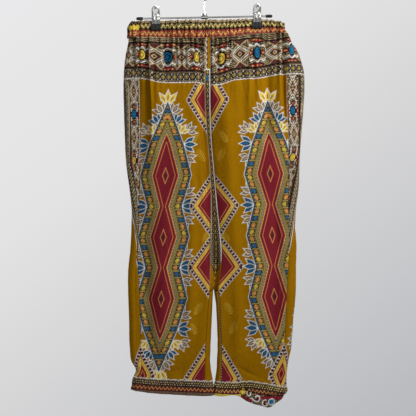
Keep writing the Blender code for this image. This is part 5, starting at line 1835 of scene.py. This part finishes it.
def pale_floor(name):
    """Matt pale floor."""
    bench, place = new_bench(name)
    bench.surface(bench.noise(place, 3.0, 4.0), (0.55, 0.7), (0.74, 0.74, 0.73), (0.7, 0.7, 0.69))
    return bench.owner


def shared_finish(name, make, *values):
    """The named material, made once."""
    return bpy.data.materials.get(name) or make(name, *values)


# ---- Operators ---------------------------------------------------

class HaremPantsOperator:
    """What every operator of the pants shares."""

    bl_options = {"REGISTER", "UNDO"}

    def dyes(self, context):
        """The print's dyes by name."""
        cloth = context.scene.harem_pants_cloth
        return {name: getattr(cloth, name)[:] for name in DYES}

    def cotton(self, context):
        """The printed cotton of the legs."""
        pitch = context.scene.harem_pants_cloth.weave_pitch
        return shared_finish("Printed cotton", printed_cotton, pitch, 0.0)


class HAREMPANTS_OT_legs(HaremPantsOperator, bpy.types.Operator):
    """Cut the fronts and backs of both legs"""

    bl_idname = "harem_pants.legs"
    bl_label = "Leg Panels"

    def execute(self, context):
        strength = context.scene.harem_pants_cloth.fold_strength
        for side in SIDES:
            for face in ("front", "back"):
                panel = leg_panel(side, face, self.dyes(context), strength, self.cotton(context))
        return {"FINISHED"}


class HAREMPANTS_OT_gussets(HaremPantsOperator, bpy.types.Operator):
    """Cut the two halves of the long gusset"""

    bl_idname = "harem_pants.gussets"
    bl_label = "Gusset"

    def execute(self, context):
        for face in ("front", "back"):
            piece = gusset(face, self.dyes(context), self.cotton(context))
        return {"FINISHED"}


class HAREMPANTS_OT_casing(HaremPantsOperator, bpy.types.Operator):
    """Gather the front and back of the waist casing"""

    bl_idname = "harem_pants.casing"
    bl_label = "Waist Casing"

    def execute(self, context):
        strength = context.scene.harem_pants_cloth.fold_strength
        for face, long in (("front", 0.48), ("back", 0.56)):
            piece = casing(face, self.dyes(context), strength, self.cotton(context))
        return {"FINISHED"}


class HAREMPANTS_OT_hems(HaremPantsOperator, bpy.types.Operator):
    """Gather the bands round both ankles"""

    bl_idname = "harem_pants.hems"
    bl_label = "Hem Bands"

    def execute(self, context):
        strength = context.scene.harem_pants_cloth.fold_strength
        for side in SIDES:
            piece = hem_band(side, self.dyes(context), strength, self.cotton(context))
        return {"FINISHED"}


class HAREMPANTS_OT_hanger(HaremPantsOperator, bpy.types.Operator):
    """Make the hook, the bar and the two spring clips"""

    bl_idname = "harem_pants.hanger"
    bl_label = "Clip Hanger"

    def execute(self, context):
        settings = context.scene.harem_pants_hanger
        chrome = shared_finish("Chrome plate", chrome_plate, settings.metal[:], 0.17)
        rubber = shared_finish("Black rubber", black_rubber, settings.rubber[:])
        hook(chrome, settings.wire_sides)
        bar(chrome, rubber, settings.wire_sides)
        for side in SIDES:
            clip_spring(side, chrome)
            for face in ("front", "back"):
                clip_jaw(side, face, chrome)
                clip_grip(side, face, rubber)
        return {"FINISHED"}


class HAREMPANTS_OT_stage(HaremPantsOperator, bpy.types.Operator):
    """Lay the pale floor and set the soft light and the camera"""

    bl_idname = "harem_pants.stage"
    bl_label = "Stage"

    def execute(self, context):
        stage = context.scene.harem_pants_stage
        lay_floor(stage)
        hang_lights()
        set_world(context.scene)
        set_camera(context.scene, stage)
        context.scene.view_settings.view_transform = "Standard"
        return {"FINISHED"}


def lay_floor(stage):
    """Round pale floor far below the hem."""
    bm = bmesh.new()
    bmesh.ops.create_circle(bm, cap_ends=True, segments=96, radius=stage.floor_radius)
    mesh = bpy.data.meshes.new("pale_floor")
    bm.to_mesh(mesh)
    bm.free()
    mesh.materials.append(shared_finish("Pale floor", pale_floor))
    floor = bpy.data.objects.new("pale_floor", mesh)
    floor.location.z = -stage.floor_drop
    bpy.context.scene.collection.objects.link(floor)


# One row per soft light: its place, the point it faces, its width and height, its power and its colour.
Lamp = namedtuple("Lamp", "name place target size power colour")
LAMPS = table(
    Lamp,
    ("window_light", (0.9, -0.9, 0.36), (0.0, 0.0, -0.36), (0.65, 0.65), 20.8, (1.0, 0.985, 0.955)),
    ("back_light", (-0.9, 1.3, 0.4), (0.0, 0.0, -0.55), (0.9, 0.9), 12.0, (0.98, 0.99, 1.0)),
    ("front_card", (-0.3, -1.7, -0.35), (0.0, 0.0, -0.2), (1.4, 1.1), 2.8, (1.0, 1.0, 1.0)),
)


def hang_lights():
    """A large soft light at the upper right, one behind, and a dim card that the chrome reflects."""
    for lamp in LAMPS:
        light = bpy.data.lights.new(lamp.name, "AREA")
        light.shape = "RECTANGLE"
        light.size, light.size_y = lamp.size
        light.energy, light.color = lamp.power, lamp.colour
        hung = bpy.data.objects.new(lamp.name, light)
        hung.location = lamp.place
        way = Vector(lamp.target) - Vector(lamp.place)
        hung.rotation_euler = way.to_track_quat("-Z", "Y").to_euler()
        hung.visible_camera = False
        bpy.context.scene.collection.objects.link(hung)


def set_world(scene):
    """Pale studio surround: the side behind the garment is bright, most of all at the upper left."""
    bench = NodeBench(bpy.data.worlds.new("studio_surround"), "Background")
    scene.world = bench.owner
    way = bench.node("ShaderNodeTexCoord").outputs["Generated"]
    apart = bench.node("ShaderNodeSeparateXYZ", ((0, way),)).outputs
    lean = bench.node("ShaderNodeMath", ((0, apart["X"]), (1, -0.7), (2, apart["Z"])),
                      operation="MULTIPLY_ADD").outputs[0]
    wall = bench.node("ShaderNodeValToRGB", ((0, bench.fit(lean, -0.37, 0.37)),))
    shades = wall.color_ramp.elements
    shades[0].color, shades[1].color = (0.47, 0.48, 0.505, 1.0), (0.82, 0.815, 0.83, 1.0)
    shades.new(0.66).color = (0.77, 0.765, 0.765, 1.0)
    reach = (("Value", apart["Y"]), ("From Min", -0.3), ("From Max", 0.8))
    behind = bench.node("ShaderNodeMapRange", reach, interpolation_type="SMOOTHSTEP").outputs[0]
    room = bench.tint(behind, (0.165, 0.163, 0.16, 1.0), wall.outputs[0])
    bench.put(bench.shader.inputs["Color"], room)


def set_camera(scene, stage):
    """Level camera in front of the garment, leaning a little."""
    lens = bpy.data.cameras.new("camera")
    lens.sensor_width = 36.0
    lens.lens = lens.sensor_width / 2 / (stage.frame_width / 2 / stage.camera_distance)
    camera = bpy.data.objects.new("camera", lens)
    camera.location = (0.0, -stage.camera_distance, stage.camera_height)
    camera.rotation_euler = (math.pi / 2, stage.roll, 0.0)
    scene.collection.objects.link(camera)
    scene.camera = camera


class HAREMPANTS_PT_panel(bpy.types.Panel):
    """Sidebar panel of the harem pants"""

    bl_label = "Harem Pants"
    bl_category = "Harem Pants"
    bl_space_type = "VIEW_3D"
    bl_region_type = "UI"

    def draw(self, context):
        column = self.layout.column(align=True)
        for operator in OPERATORS:
            column.operator(operator.bl_idname)
        for group in ("cloth", "hanger", "stage"):
            settings = getattr(context.scene, f"harem_pants_{group}")
            box = self.layout.box()
            for key in settings.__annotations__:
                box.prop(settings, key)


OPERATORS = (HAREMPANTS_OT_legs, HAREMPANTS_OT_gussets, HAREMPANTS_OT_casing, HAREMPANTS_OT_hems,
             HAREMPANTS_OT_hanger, HAREMPANTS_OT_stage)
SETTINGS = {"cloth": HaremPantsCloth, "hanger": HaremPantsHanger, "stage": HaremPantsStage}


def register():
    """Register the settings, the operators and the panel."""
    for group, settings in SETTINGS.items():
        bpy.utils.register_class(settings)
        setattr(bpy.types.Scene, f"harem_pants_{group}", bpy.props.PointerProperty(type=settings))
    for operator in OPERATORS:
        bpy.utils.register_class(operator)
    bpy.utils.register_class(HAREMPANTS_PT_panel)


def unregister():
    """Remove what register added."""
    bpy.utils.unregister_class(HAREMPANTS_PT_panel)
    for operator in reversed(OPERATORS):
        bpy.utils.unregister_class(operator)
    for group, settings in SETTINGS.items():
        delattr(bpy.types.Scene, f"harem_pants_{group}")
        bpy.utils.unregister_class(settings)


def main():
    """Build every piece and the stage."""
    register()
    bpy.ops.harem_pants.legs()
    bpy.ops.harem_pants.gussets()
    bpy.ops.harem_pants.casing()
    bpy.ops.harem_pants.hems()
    bpy.ops.harem_pants.hanger()
    bpy.ops.harem_pants.stage()


if __name__ == "__main__":
    main()
